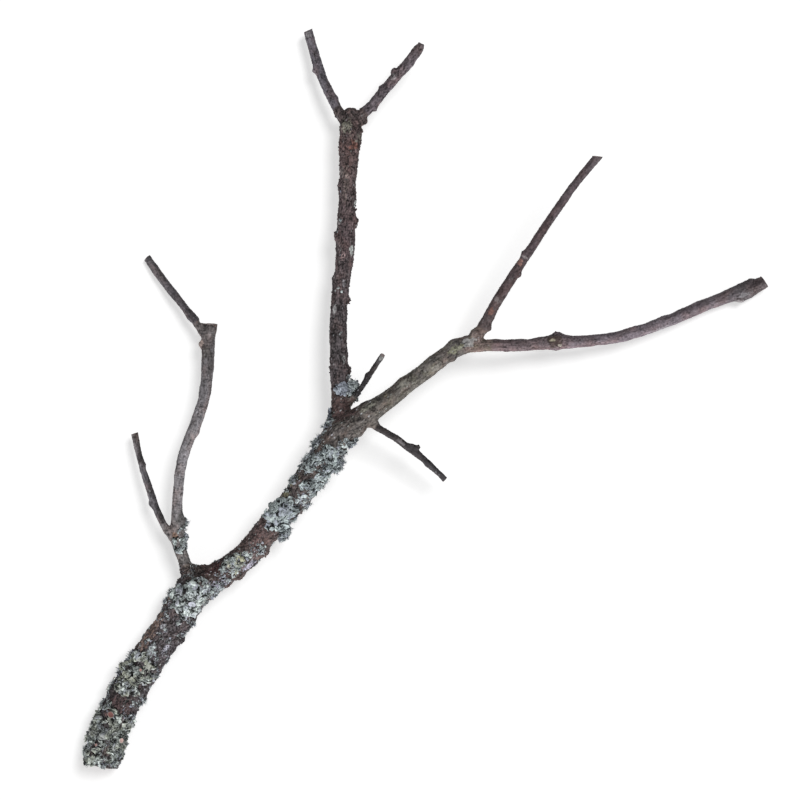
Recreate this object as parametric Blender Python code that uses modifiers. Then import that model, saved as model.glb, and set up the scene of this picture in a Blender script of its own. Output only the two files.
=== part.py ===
# A pruned branch with lichen on it, lying on a flat surface.
# Seen from above, +X is right, +Y is up the picture and +Z comes towards the eye; the surface is z = 0.
import math
import random

import bmesh
import bpy
from mathutils import Matrix, Vector, noise
from mathutils.bvhtree import BVHTree
from mathutils.kdtree import KDTree

MM = 0.001

# Driving sizes in millimetres
GAP = 0.3                 # air between neighbouring solids
ROUTE_STEP = 3.0          # spacing of the points along a limb
VOXEL = 0.75              # grain of the wood before it is simplified
LICHEN_VOXEL = 0.8        # grain of a lichen crust before it is simplified
WOOD_FACES = 4300         # triangles kept for all the wood
SMOOTHING = 3             # passes that take the grain off the joined limbs
BARK_LUMP = 0.085         # height of the bark's lumps, as a part of the limb's radius
LUMP_LENGTH = 6.5         # distance between those lumps
LICHEN_DROP = 0.35        # clearance of a crust over the bark and over its neighbours
LOBE_FACES = 8            # triangles kept for each lobe of a crust, before the bark is cut out

# Each limb runs from inside its parent to its tip: x, y, height of its middle, thickness
ROUTES = {
    "trunk": [
        (-195.3, -221.0, 10.8, 22.3), (-191.1, -205.2, 11.2, 22.2), (-181.4, -181.4, 12.2, 21.9),
        (-166.7, -157.5, 13.4, 21.3), (-151.7, -135.5, 14.6, 21.0), (-141.6, -119.2, 15.8, 21.4),
        (-131.0, -110.6, 16.8, 19.2), (-118.8, -102.8, 18.0, 16.8), (-104.1, -90.9, 20.0, 16.4),
        (-90.5, -74.4, 22.0, 16.4), (-78.9, -61.5, 23.6, 16.7), (-68.4, -47.0, 25.0, 17.3),
        (-59.5, -33.4, 26.0, 18.4), (-49.3, -19.8, 27.0, 17.8), (-36.8, -10.4, 28.2, 14.6),
        (-23.2, -1.4, 29.0, 11.7), (-11.3, 8.1, 29.0, 10.8), (0.7, 16.8, 28.5, 10.4),
        (12.0, 25.7, 27.8, 10.6), (24.0, 32.2, 27.0, 10.6), (33.0, 33.2, 26.0, 8.6),
    ],
    "left_branch": [
        (-136.5, -116.0, 14.5, 13.8), (-140.5, -106.0, 14.5, 10.5), (-144.5, -96.5, 15.0, 7.4),
        (-147.8, -86.5, 15.6, 8.3), (-148.6, -77.5, 16.0, 8.0), (-148.2, -65.5, 16.6, 7.2),
        (-147.5, -53.5, 17.0, 6.8), (-145.5, -38.5, 17.4, 6.9), (-142.0, -26.5, 17.4, 7.2),
        (-137.5, -15.5, 17.0, 7.4), (-133.1, -3.0, 16.2, 7.6), (-130.9, 8.5, 15.2, 7.8),
        (-130.1, 20.5, 14.2, 8.0), (-129.9, 32.0, 13.0, 8.5), (-129.0, 40.5, 12.2, 8.1),
        (-127.0, 49.5, 12.0, 7.0),
    ],
    "left_branch_tip": [
        (-130.0, 35.5, 12.6, 7.2), (-135.0, 43.5, 11.4, 5.8), (-144.6, 55.4, 8.8, 5.4),
        (-156.8, 70.2, 5.2, 5.4), (-167.6, 85.1, 2.1, 5.4), (-171.2, 90.2, 1.4, 5.4),
    ],
    "left_thin_twig": [
        (-146.5, -89.0, 15.6, 5.7), (-153.0, -81.2, 15.4, 5.0), (-159.2, -69.8, 14.6, 4.9),
        (-164.2, -56.8, 13.4, 5.0), (-168.2, -45.2, 12.2, 4.7), (-172.4, -30.6, 10.6, 4.6),
        (-175.2, -17.0, 9.4, 4.7),
    ],
    "middle_branch": [
        (-50.0, -21.0, 23.0, 16.1), (-50.0, -9.0, 22.6, 13.1), (-50.5, 2.0, 22.2, 11.3),
        (-51.0, 17.5, 21.8, 11.2), (-51.5, 32.5, 21.2, 10.8), (-51.5, 50.0, 20.4, 10.6),
        (-50.0, 67.0, 19.6, 10.6), (-48.0, 83.0, 19.0, 11.1), (-47.0, 100.0, 18.4, 12.3),
        (-46.5, 113.0, 17.8, 11.0), (-46.0, 125.0, 17.2, 10.7), (-46.0, 137.0, 16.8, 11.2),
        (-45.0, 149.5, 16.4, 12.5), (-44.5, 159.0, 16.0, 13.3), (-44.5, 167.5, 15.8, 9.8),
        (-44.0, 174.6, 15.8, 6.2),
    ],
    "middle_fork_left_twig": [
        (-46.0, 162.5, 15.8, 8.1), (-50.0, 170.0, 15.2, 6.4), (-59.0, 187.5, 13.0, 6.3),
        (-64.5, 202.0, 11.2, 6.2), (-67.5, 212.5, 9.8, 6.1), (-71.0, 225.0, 8.4, 5.8),
    ],
    "middle_fork_right_twig": [
        (-43.0, 162.0, 16.0, 8.4), (-39.5, 168.0, 16.6, 7.0), (-32.1, 175.2, 18.0, 6.7),
        (-22.3, 186.5, 20.0, 6.7), (-13.4, 196.6, 21.6, 6.6), (-4.8, 207.4, 23.0, 6.8),
        (-1.4, 212.4, 23.6, 5.2),
    ],
    "right_rising_twig": [
        (29.0, 33.5, 27.0, 8.0), (34.5, 42.8, 29.0, 7.3), (43.6, 59.2, 33.0, 7.0),
        (53.4, 74.8, 37.0, 6.3), (67.0, 95.5, 42.0, 5.8), (82.5, 118.5, 47.5, 5.4),
        (93.6, 133.0, 51.0, 5.3), (104.6, 145.8, 54.0, 5.3),
    ],
    "right_long_twig": [
        (24.5, 32.0, 26.4, 9.4), (33.0, 32.0, 25.4, 8.3), (45.0, 32.0, 23.6, 7.8),
        (62.0, 32.4, 21.0, 8.0), (72.0, 33.5, 19.4, 8.8), (78.5, 34.2, 18.4, 10.2),
        (86.0, 34.2, 17.4, 8.7), (96.0, 34.6, 16.0, 7.7), (117.5, 37.5, 13.2, 7.6),
        (142.0, 45.3, 10.0, 7.7), (166.0, 55.3, 7.2, 8.0), (182.5, 61.7, 5.8, 8.4),
        (194.5, 65.6, 5.1, 11.5), (201.0, 68.4, 5.4, 8.9), (209.0, 72.8, 5.8, 7.8),
    ],
    "small_upper_twig": [
        (-46.0, -3.0, 23.5, 5.4), (-39.6, 4.3, 27.0, 4.0), (-32.1, 15.3, 31.5, 3.8),
        (-22.4, 29.6, 36.5, 3.5),
    ],
    "small_lower_twig": [
        (-36.5, -12.0, 28.0, 5.9), (-29.3, -16.5, 27.6, 4.8), (-17.8, -23.0, 26.4, 4.6),
        (-7.7, -30.4, 25.0, 5.1), (-2.1, -34.8, 24.0, 4.3), (5.0, -41.0, 22.4, 4.2),
        (14.0, -50.0, 20.4, 4.1),
    ],
    "lower_spur": [
        (-7.6, -30.2, 25.0, 3.8), (-1.5, -27.4, 25.6, 2.9),
    ],
}

# Buds, knots and old scars: limb, distance along it, angle round it, width, height.
# Angle 0 faces up and 90 is the left side when looking along the limb.
KNOBS = [
    ("trunk", 62, 80, 11, 1.2), ("trunk", 120, 95, 11, 1.8), ("trunk", 92, -70, 10, 1.4),
    ("trunk", 150, -95, 10, 1.4), ("trunk", 214, 60, 12, 1.2), ("trunk", 252, 90, 9, 1.5),
    ("trunk", 262, -60, 11, 1.4), ("trunk", 30, -150, 12, 1.4), ("trunk", 190, 170, 12, 1.5),
    ("trunk", 131, 90, 10, 2.4), ("trunk", 168, -88, 9, 1.4),
    ("left_branch", 37, -80, 7, 1.5), ("left_branch", 45, -85, 9, 1.8), ("left_branch", 70, 180, 5, 0.9),
    ("left_branch", 100, -80, 5, 0.8), ("left_branch", 153, 85, 5, 2.1),
    ("left_branch", 161, 20, 6, 1.2),
    ("left_branch_tip", 18, 90, 4.5, 0.5), ("left_branch_tip", 44, -80, 4, 0.4),
    ("left_thin_twig", 31, 85, 4, 1.4), ("left_thin_twig", 55, -80, 3.5, 0.8),
    ("middle_branch", 39, -85, 5, 1.3), ("middle_branch", 81, -85, 5, 1.4),
    ("middle_branch", 92, 80, 8, 1.2), ("middle_branch", 119, 100, 9, 1.4),
    ("middle_branch", 129, -80, 6, 1.5), ("middle_branch", 150, 85, 6, 1.0),
    ("middle_branch", 172, -45, 8, 1.3), ("middle_branch", 183, 60, 7, 1.5),
    ("middle_branch", 182, -82, 5, 1.5),
    ("middle_branch", 189, -80, 5, 1.6), ("middle_branch", 191, 90, 4.5, 1.6),
    ("middle_fork_left_twig", 40, 90, 3.6, 1.4), ("middle_fork_left_twig", 20, -85, 4, 0.8),
    ("middle_fork_right_twig", 8, -88, 5.5, 2.3), ("middle_fork_right_twig", 18, -80, 4, 1.4),
    ("middle_fork_right_twig", 30, 85, 4.5, 1.0), ("middle_fork_right_twig", 42, 85, 4.6, 2.3),
    ("middle_fork_right_twig", 52, -80, 4.5, 1.0),
    ("trunk", 300, 80, 7, 0.4), ("trunk", 333, -75, 8, 1.0), ("trunk", 338, 82, 9, 1.2),
    ("right_rising_twig", 5, 85, 8, 1.4), ("right_rising_twig", 12, -85, 6, 1.6),
    ("right_rising_twig", 49, -85, 4, 1.3),
    ("right_rising_twig", 61, 85, 4.6, 0.9), ("right_rising_twig", 98, -80, 3.8, 0.4),
    ("right_long_twig", 56, 80, 7, 1.7), ("right_long_twig", 55, -85, 6, 0.7),
    ("right_long_twig", 24, -80, 5, 0.8), ("right_long_twig", 104, 80, 5, 0.7),
    ("right_long_twig", 181, 82, 7, 1.2), ("right_long_twig", 172, -80, 6.5, 1.2),
    ("small_upper_twig", 22, 80, 3, 0.8),
    ("small_lower_twig", 8, 85, 4.4, 1.7), ("small_lower_twig", 33, 85, 4.8, 1.4),
    ("small_lower_twig", 47, -80, 3.6, 0.8),
]

# Where a limb is parted from what bears it: node above the cut, limb, distance, width of the cut
FORKS = [
    ("trunk_upper", "trunk", 137, 26.5), ("right_branch", "trunk", 285, 16.5),
    ("left_branch", "left_branch", 18.5, 10.5), ("left_branch_tip", "left_branch_tip", 12.5, 8.6),
    ("left_thin_twig", "left_thin_twig", 17.5, 6.8), ("middle_branch", "middle_branch", 23.5, 15.5),
    ("middle_fork_left_twig", "middle_fork_left_twig", 13.5, 9.0),
    ("middle_fork_right_twig", "middle_fork_right_twig", 13.0, 9.8),
    ("right_rising_twig", "right_rising_twig", 10.2, 11.5),
    ("right_long_twig", "right_long_twig", 14.5, 10.5),
    ("small_upper_twig", "small_upper_twig", 7.0, 5.6),
    ("small_lower_twig", "small_lower_twig", 8.6, 8.5),
]

# A point on each piece of wood, by which it is found and named: limb, distance
WOOD = {
    "trunk_lower": ("trunk", 60), "trunk_upper": ("trunk", 200), "right_branch": ("trunk", 320),
    "left_branch": ("left_branch", 90), "left_branch_tip": ("left_branch_tip", 40),
    "left_thin_twig": ("left_thin_twig", 40), "middle_branch": ("middle_branch", 100),
    "middle_fork_left_twig": ("middle_fork_left_twig", 36),
    "middle_fork_right_twig": ("middle_fork_right_twig", 36),
    "right_rising_twig": ("right_rising_twig", 70), "right_long_twig": ("right_long_twig", 110),
    "small_upper_twig": ("small_upper_twig", 22), "small_lower_twig": ("small_lower_twig", 30),
}

# Pruned ends: limb, length left on, sideways and upward lean of the cut in degrees
CUT_ENDS = [
    ("trunk", None, 0, 0), ("left_branch", 166.4, 10, 8), ("left_branch_tip", 63.5, 12, 0),
    ("left_thin_twig", 75.0, 8, 10), ("middle_fork_left_twig", 65.0, 8, 15),
    ("right_rising_twig", 133.0, 35, 0), ("right_long_twig", 189.0, 4, 0),
    ("small_upper_twig", 38.0, 0, 20), ("small_lower_twig", 61.5, 5, 0), ("lower_spur", 5.2, 0, 0),
]

# Lichen crusts: limb, distance and angle of the middle, half length, half angle, lobes, lobe width, height
CRUSTS = {
    "lichen_butt": ("trunk", 20, 0, 20, 108, 46, 7.5, 1.8),
    "lichen_lower": ("trunk", 62, 6, 16, 60, 26, 7.0, 1.7),
    "lichen_fork": ("trunk", 118, -4, 15, 62, 30, 7.0, 1.7),
    "lichen_saddle": ("trunk", 153, 10, 6.5, 50, 10, 6.0, 1.4),
    "lichen_mid": ("trunk", 193, 2, 11, 66, 22, 6.5, 1.8),
    "lichen_mid_tuft": ("trunk", 185, -88, 5, 24, 8, 5.4, 3.3),
    "lichen_edge": ("trunk", 213, 56, 5.5, 22, 6, 4.8, 1.5),
    "lichen_upper": ("trunk", 230, -22, 17, 60, 34, 6.5, 1.9),
    "lichen_beard": ("trunk", 235, -92, 3.5, 18, 6, 4.8, 3.2),
    "lichen_collar": ("trunk", 253, -84, 5.5, 26, 9, 5.0, 2.6),
    "lichen_bump": ("middle_branch", 12, 88, 4.5, 26, 7, 4.8, 2.0),
    "lichen_left_branch": ("left_branch", 33, -40, 8, 92, 16, 4.6, 1.5),
    "lichen_rosette": ("middle_branch", 27, -4, 4, 44, 7, 4.4, 1.2),
    "lichen_cluster": ("middle_branch", 27, -84, 5, 34, 9, 4.6, 2.3),
}

COLOURS = {
    "trunk_lower": (0.085, 0.070, 0.068), "trunk_upper": (0.105, 0.078, 0.072),
    "right_branch": (0.125, 0.110, 0.095), "left_branch": (0.150, 0.138, 0.140),
    "left_branch_tip": (0.120, 0.108, 0.112), "left_thin_twig": (0.135, 0.125, 0.130),
    "middle_branch": (0.115, 0.098, 0.098), "middle_fork_left_twig": (0.105, 0.092, 0.098),
    "middle_fork_right_twig": (0.090, 0.075, 0.082), "right_rising_twig": (0.060, 0.050, 0.052),
    "right_long_twig": (0.125, 0.105, 0.112), "small_upper_twig": (0.055, 0.050, 0.052),
    "small_lower_twig": (0.060, 0.055, 0.058),
    "lichen_butt": (0.215, 0.235, 0.190), "lichen_lower": (0.270, 0.290, 0.235),
    "lichen_fork": (0.330, 0.370, 0.345), "lichen_saddle": (0.300, 0.310, 0.250),
    "lichen_mid": (0.290, 0.340, 0.345), "lichen_mid_tuft": (0.240, 0.290, 0.300),
    "lichen_edge": (0.250, 0.280, 0.300), "lichen_upper": (0.310, 0.365, 0.365),
    "lichen_beard": (0.240, 0.280, 0.275), "lichen_collar": (0.260, 0.300, 0.305),
    "lichen_bump": (0.240, 0.270, 0.300), "lichen_left_branch": (0.290, 0.330, 0.325),
    "lichen_rosette": (0.270, 0.310, 0.325), "lichen_cluster": (0.280, 0.320, 0.310),
}
BARK_ROUGHNESS = 0.85
LICHEN_ROUGHNESS = 0.95


def clear_scene():
    for thing in list(bpy.data.objects):
        bpy.data.objects.remove(thing, do_unlink=True)


def new_collection(name):
    collection = bpy.data.collections.new(name)
    bpy.context.scene.collection.children.link(collection)
    return collection


def catmull(a, b, c, d, t):
    """Point at t between b and c on the smooth curve through a, b, c and d."""
    return 0.5 * (2 * b + (c - a) * t + (2 * a - 5 * b + 4 * c - d) * t * t
                  + (3 * b - a - 3 * c + d) * t ** 3)


def smooth_route(points):
    """Evenly spaced (place, radius) pairs along the smooth curve through a limb's points."""
    rows = [Vector(p) for p in points]
    rows = [2 * rows[0] - rows[1]] + rows + [2 * rows[-1] - rows[-2]]
    fine = []
    for i in range(1, len(rows) - 2):
        fine += [catmull(*rows[i - 1:i + 3], k / 12) for k in range(12)]
    fine.append(rows[-2])
    length = sum((b.xyz - a.xyz).length for a, b in zip(fine, fine[1:]))
    count = max(4, round(length / ROUTE_STEP))
    route, walked, wanted = [], 0.0, 0.0
    for a, b in zip(fine, fine[1:]):
        piece = (b.xyz - a.xyz).length
        while wanted <= walked + piece and len(route) < count:
            spot = a.lerp(b, (wanted - walked) / piece)
            route.append((spot.xyz * MM, spot.w * MM / 2))
            wanted += length / count
        walked += piece
    route.append((fine[-1].xyz * MM, fine[-1].w * MM / 2))
    return route


def at(limb, distance):
    """Place, heading and radius at a distance in millimetres along a limb."""
    walked = 0.0
    route = SMOOTH[limb]
    for (a, ra), (b, rb) in zip(route, route[1:]):
        piece = (b - a).length
        if walked + piece >= distance * MM:
            break
        walked += piece
    share = (distance * MM - walked) / piece
    return a.lerp(b, share), (b - a).normalized(), ra + (rb - ra) * share


def outward(heading, angle):
    """Direction square to a limb, at an angle round it from the top towards the left."""
    left = Vector((0, 0, 1)).cross(heading).normalized()
    top = heading.cross(left)
    turn = math.radians(angle)
    return top * math.cos(turn) + left * math.sin(turn)


def link_mesh(name, mesh, collection):
    thing = bpy.data.objects.new(name, mesh)
    collection.objects.link(thing)
    return thing


def evaluated_mesh(thing):
    bpy.context.view_layer.update()
    depsgraph = bpy.context.evaluated_depsgraph_get()
    return bpy.data.meshes.new_from_object(thing.evaluated_get(depsgraph), depsgraph=depsgraph)


def tube_mesh(name, route):
    """A round limb of changing thickness as a welded mesh."""
    curve = bpy.data.curves.new(name, "CURVE")
    curve.dimensions = "3D"
    curve.bevel_depth = 1.0
    curve.bevel_resolution = 4
    curve.use_fill_caps = True
    spline = curve.splines.new("POLY")
    spline.points.add(len(route) - 1)
    for point, (place, radius) in zip(spline.points, route):
        point.co = (*place, 1.0)
        point.radius = radius
    guide = link_mesh(name + "_guide", curve, cutters)
    mesh = evaluated_mesh(guide)
    bpy.data.objects.remove(guide, do_unlink=True)
    return mesh


def frame_matrix(place, z_axis, along):
    """A frame at a place whose Z is z_axis and whose X runs along the limb."""
    y_axis = z_axis.cross(along).normalized()
    x_axis = y_axis.cross(z_axis)
    return Matrix.Translation(place) @ Matrix((x_axis, y_axis, z_axis)).transposed().to_4x4()


def add_knob(bm, limb, distance, angle, width, height):
    """A bud, knot or scar: a ball half sunk in the bark, a little longer than wide."""
    place, heading, radius = at(limb, distance)
    face = outward(heading, angle)
    half = width * MM / 2
    centre = place + face * (radius + height * MM - half * 0.8)
    frame = frame_matrix(centre, face, heading)
    shape = Matrix.Diagonal((half * 1.15, half, half * 0.8, 1))
    bmesh.ops.create_icosphere(bm, subdivisions=2, radius=1.0, matrix=frame @ shape)


def add_modifier(thing, name, kind, **settings):
    modifier = thing.modifiers.new(name, kind)
    for key, value in settings.items():
        setattr(modifier, key, value)
    return modifier


def nearest_limb():
    """A lookup from a place to the radius of the limb it is on."""
    spots = [spot for route in SMOOTH.values() for spot in route]
    tree = KDTree(len(spots))
    for i, (place, radius) in enumerate(spots):
        tree.insert(place, i)
    tree.balance()
    return tree, spots


def roughen(mesh):
    """Low lumps on the bark, in step with the thickness of the limb."""
    tree, spots = nearest_limb()
    places = []
    for vertex, normal in [(v.co.copy(), v.normal.copy()) for v in mesh.vertices]:
        radius = spots[tree.find(vertex)[1]][1]
        lumps = noise.noise(vertex / (LUMP_LENGTH * MM))
        lumps += 0.5 * noise.noise(vertex / (LUMP_LENGTH * MM / 2.3) + Vector((7, 3, 5)))
        places.extend(vertex + normal * (lumps * (BARK_LUMP * radius + 0.05 * MM)))
    mesh.vertices.foreach_set("co", places)
    mesh.update()


def make_blank():
    """All the limbs and knobs as one skin, simplified to the number of faces the wood may have."""
    bm = bmesh.new()
    for limb, route in SMOOTH.items():
        bm.from_mesh(tube_mesh(limb, route))
    bmesh.ops.remove_doubles(bm, verts=bm.verts, dist=0.01 * MM)
    for knob in KNOBS:
        add_knob(bm, *knob)
    joined = bpy.data.meshes.new("limbs")
    bm.to_mesh(joined)
    bm.free()
    blank = link_mesh("blank", joined, cutters)
    add_modifier(blank, "Join", "REMESH", mode="VOXEL", voxel_size=VOXEL * MM)
    add_modifier(blank, "Smooth", "SMOOTH", factor=0.5, iterations=SMOOTHING)
    skin = evaluated_mesh(blank)
    roughen(skin)
    blank.modifiers.clear()
    blank.data = skin
    add_modifier(blank, "Simplify", "DECIMATE", ratio=WOOD_FACES / (2 * len(skin.polygons)))
    blank.data = evaluated_mesh(blank)
    blank.modifiers.clear()
    return blank


def box_cutter(name, size, matrix):
    mesh = bpy.data.meshes.new(name)
    bm = bmesh.new()
    bmesh.ops.create_cube(bm, size=1.0, matrix=matrix @ Matrix.Diagonal((*size, 1)))
    bm.to_mesh(mesh)
    bm.free()
    return hide(link_mesh(name, mesh, cutters))


def disc_cutter(name, width, thickness, matrix):
    mesh = bpy.data.meshes.new(name)
    bm = bmesh.new()
    bmesh.ops.create_cone(bm, cap_ends=True, segments=24, radius1=width / 2, radius2=width / 2,
                          depth=thickness, matrix=matrix)
    bm.to_mesh(mesh)
    bm.free()
    return hide(link_mesh(name, mesh, cutters))


def hide(cutter):
    cutter.hide_render = True
    cutter.display_type = "WIRE"
    return cutter


def end_cutters():
    """Blocks that take off what is past each pruned end."""
    made = []
    for limb, length, sideways, upward in CUT_ENDS:
        if length is None:
            place, heading, radius = at(limb, 1.5)
            heading = -heading
        else:
            place, heading, radius = at(limb, length)
        lean = Matrix.Rotation(math.radians(sideways), 3, "Z")
        heading = (lean @ heading).normalized()
        heading = (heading + Vector((0, 0, math.tan(math.radians(upward))))).normalized()
        size = radius * 4
        frame = frame_matrix(place + heading * size / 2, heading, outward(heading, 90))
        made.append(box_cutter(limb + "_end", (size, size, size), frame))
    return made


def fork_cutters():
    """Thin discs that part the limbs at the forks."""
    made = []
    for node, limb, distance, width in FORKS:
        place, heading, radius = at(limb, distance)
        frame = frame_matrix(place, heading, outward(heading, 90))
        made.append(disc_cutter(node + "_fork", width * MM, GAP * MM, frame))
    return made


def cut(thing, cutter_list):
    for cutter in cutter_list:
        add_modifier(thing, cutter.name, "BOOLEAN", operation="DIFFERENCE", object=cutter)
        thing.data = evaluated_mesh(thing)
        thing.modifiers.clear()


def islands(mesh):
    """The separate bodies of a mesh, each as a bmesh."""
    bm = bmesh.new()
    bm.from_mesh(mesh)
    bm.verts.ensure_lookup_table()
    seen, groups = set(), []
    for start in bm.verts:
        if start in seen:
            continue
        group, waiting = {start}, [start]
        while waiting:
            for edge in waiting.pop().link_edges:
                for vertex in edge.verts:
                    if vertex not in group:
                        group.add(vertex)
                        waiting.append(vertex)
        seen |= group
        groups.append([v.index for v in group])
    bm.free()
    bodies = []
    for group in groups:
        body = bmesh.new()
        body.from_mesh(mesh)
        keep = set(group)
        body.verts.ensure_lookup_table()
        bmesh.ops.delete(body, geom=[v for v in body.verts if v.index not in keep], context="VERTS")
        bodies.append(body)
    return bodies


def material(name, colour, roughness):
    made = bpy.data.materials.new(name)
    made.use_nodes = True
    shader = made.node_tree.nodes["Principled BSDF"]
    shader.inputs["Base Color"].default_value = (*colour, 1)
    shader.inputs["Roughness"].default_value = roughness
    shader.inputs["Metallic"].default_value = 0.0
    return made


def finish_part(name, bm, origin, roughness):
    """A named object whose own origin is at a place on it."""
    bmesh.ops.triangulate(bm, faces=bm.faces)
    mesh = bpy.data.meshes.new(name)
    bm.transform(Matrix.Translation(-origin))
    bm.to_mesh(mesh)
    bm.free()
    mesh.shade_smooth()
    mesh.set_sharp_from_angle(angle=math.radians(50))
    mesh.materials.append(material(name, COLOURS[name], roughness))
    part = link_mesh(name, mesh, parts)
    part.location = origin
    return part


def make_wood(blank):
    """Cuts the blank at its ends, its resting places and its forks, and names the pieces."""
    surface = box_cutter("surface", (0.6, 0.6, 0.02), Matrix.Translation((0, 0, -0.01)))
    cut(blank, [surface] + end_cutters() + fork_cutters())
    bodies = islands(blank.data)
    for name, (limb, distance) in WOOD.items():
        place, heading, radius = at(limb, distance)
        body = min(bodies, key=lambda b: min((v.co - place).length for v in b.verts))
        bodies.remove(body)
        finish_part(name, body, place, BARK_ROUGHNESS)


def add_lobe(bm, limb, distance, angle, width, height):
    """One flat lobe of a crust, lying on the bark."""
    place, heading, radius = at(limb, distance)
    face = outward(heading, angle)
    start = place + face * radius * 2.2
    hit, normal, index, far = bark.ray_cast(start, -face)
    if hit is None:
        hit, normal = place + face * radius, face
    frame = frame_matrix(hit, normal, heading)
    turn = Matrix.Rotation(random.uniform(0, math.tau), 4, "Z")
    half = width * MM / 2
    shape = Matrix.Diagonal((half, half * random.uniform(0.65, 0.95), height * MM, 1))
    bmesh.ops.create_icosphere(bm, subdivisions=2, radius=1.0, matrix=frame @ turn @ shape)


def make_crust(name, laid, seed):
    """A lichen crust: lobes strewn over a patch of bark, grown together, lying just clear of it."""
    limb, distance, angle, half_length, half_angle, lobes, width, height = CRUSTS[name]
    random.seed(seed)
    bm = bmesh.new()
    for i in range(lobes):
        reach = math.sqrt((i + 0.5) / lobes)
        turn = i * math.pi * (3 - math.sqrt(5))
        along = distance + reach * half_length * math.cos(turn) * random.uniform(0.85, 1.15)
        around = angle + reach * half_angle * math.sin(turn) * random.uniform(0.85, 1.15)
        add_lobe(bm, limb, max(along, 3.0), around, width * random.uniform(0.75, 1.2),
                 height * random.uniform(0.7, 1.25))
    mesh = bpy.data.meshes.new(name + "_lobes")
    bm.to_mesh(mesh)
    bm.free()
    crust = link_mesh(name + "_blank", mesh, cutters)
    add_modifier(crust, "Join", "REMESH", mode="VOXEL", voxel_size=LICHEN_VOXEL * MM)
    add_modifier(crust, "Smooth", "SMOOTH", factor=0.4, iterations=1)
    crust.data = evaluated_mesh(crust)
    crust.modifiers.clear()
    wanted = LOBE_FACES * (lobes + 3)
    add_modifier(crust, "Simplify", "DECIMATE", ratio=wanted / (2 * len(crust.data.polygons)))
    crust.data = evaluated_mesh(crust)
    crust.modifiers.clear()
    cut(crust, laid)
    bodies = islands(crust.data)
    body = max(bodies, key=lambda b: b.calc_volume())
    kept = bpy.data.meshes.new(name + "_kept")
    body.to_mesh(kept)
    laid.append(grown_copy(name + "_grown", kept))
    place, heading, radius = at(limb, distance)
    finish_part(name, body, place + outward(heading, angle) * radius, LICHEN_ROUGHNESS)
    bpy.data.objects.remove(crust, do_unlink=True)


def grown_copy(name, mesh):
    """A cutter: the mesh pushed out by the clearance that a crust keeps."""
    grown = mesh.copy()
    places = []
    for vertex in mesh.vertices:
        places.extend(vertex.co + vertex.normal * (LICHEN_DROP * MM))
    grown.vertices.foreach_set("co", places)
    grown.update()
    return hide(link_mesh(name, grown, cutters))


clear_scene()
parts = new_collection("lichen_branch")
cutters = new_collection("cutters")
SMOOTH = {limb: smooth_route(points) for limb, points in ROUTES.items()}
blank = make_blank()
bark = BVHTree.FromPolygons([v.co for v in blank.data.vertices],
                            [list(p.vertices) for p in blank.data.polygons])
laid = [grown_copy("grown_bark", blank.data)]
make_wood(blank)
for number, name in enumerate(CRUSTS):
    make_crust(name, laid, 11 + number)
for thing in [blank] + laid:
    bpy.data.objects.remove(thing, do_unlink=True)
total = sum(len(part.data.polygons) for part in parts.objects)
print("pieces", len(parts.objects), "triangles", total)
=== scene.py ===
# A pruned branch with lichens on its bark, lying on a pale floor and seen from straight above
import math
import random
from functools import partial

import bmesh
import bpy
import numpy as np
from mathutils import Matrix, Vector
from mathutils.bvhtree import BVHTree
from mathutils.kdtree import KDTree


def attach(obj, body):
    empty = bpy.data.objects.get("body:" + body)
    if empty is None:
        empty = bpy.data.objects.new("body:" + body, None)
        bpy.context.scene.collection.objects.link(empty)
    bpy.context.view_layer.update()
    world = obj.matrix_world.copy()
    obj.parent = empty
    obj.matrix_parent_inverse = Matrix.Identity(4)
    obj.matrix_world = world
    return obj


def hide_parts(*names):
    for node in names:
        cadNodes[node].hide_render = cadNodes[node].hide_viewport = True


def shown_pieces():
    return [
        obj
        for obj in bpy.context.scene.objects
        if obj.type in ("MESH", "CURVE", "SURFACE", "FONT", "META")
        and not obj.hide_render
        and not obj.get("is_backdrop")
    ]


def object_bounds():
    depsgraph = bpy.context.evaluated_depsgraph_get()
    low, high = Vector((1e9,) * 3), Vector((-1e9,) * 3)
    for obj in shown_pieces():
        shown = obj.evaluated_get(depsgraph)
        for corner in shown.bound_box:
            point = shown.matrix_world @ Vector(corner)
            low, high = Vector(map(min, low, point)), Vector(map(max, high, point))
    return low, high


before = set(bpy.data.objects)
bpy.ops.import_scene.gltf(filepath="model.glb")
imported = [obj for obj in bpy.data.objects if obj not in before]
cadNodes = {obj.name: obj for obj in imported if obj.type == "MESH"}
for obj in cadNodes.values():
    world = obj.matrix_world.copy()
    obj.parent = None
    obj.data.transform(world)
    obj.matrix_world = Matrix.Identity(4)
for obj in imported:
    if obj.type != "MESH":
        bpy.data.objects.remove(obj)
cadLow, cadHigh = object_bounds()
mm = 0.001
sampleStep = 0.5  # millimetres from one sample along a limb to the next
up = Vector((0, 0, 1))
print("frame loaded:", len(cadNodes), "nodes")

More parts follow.
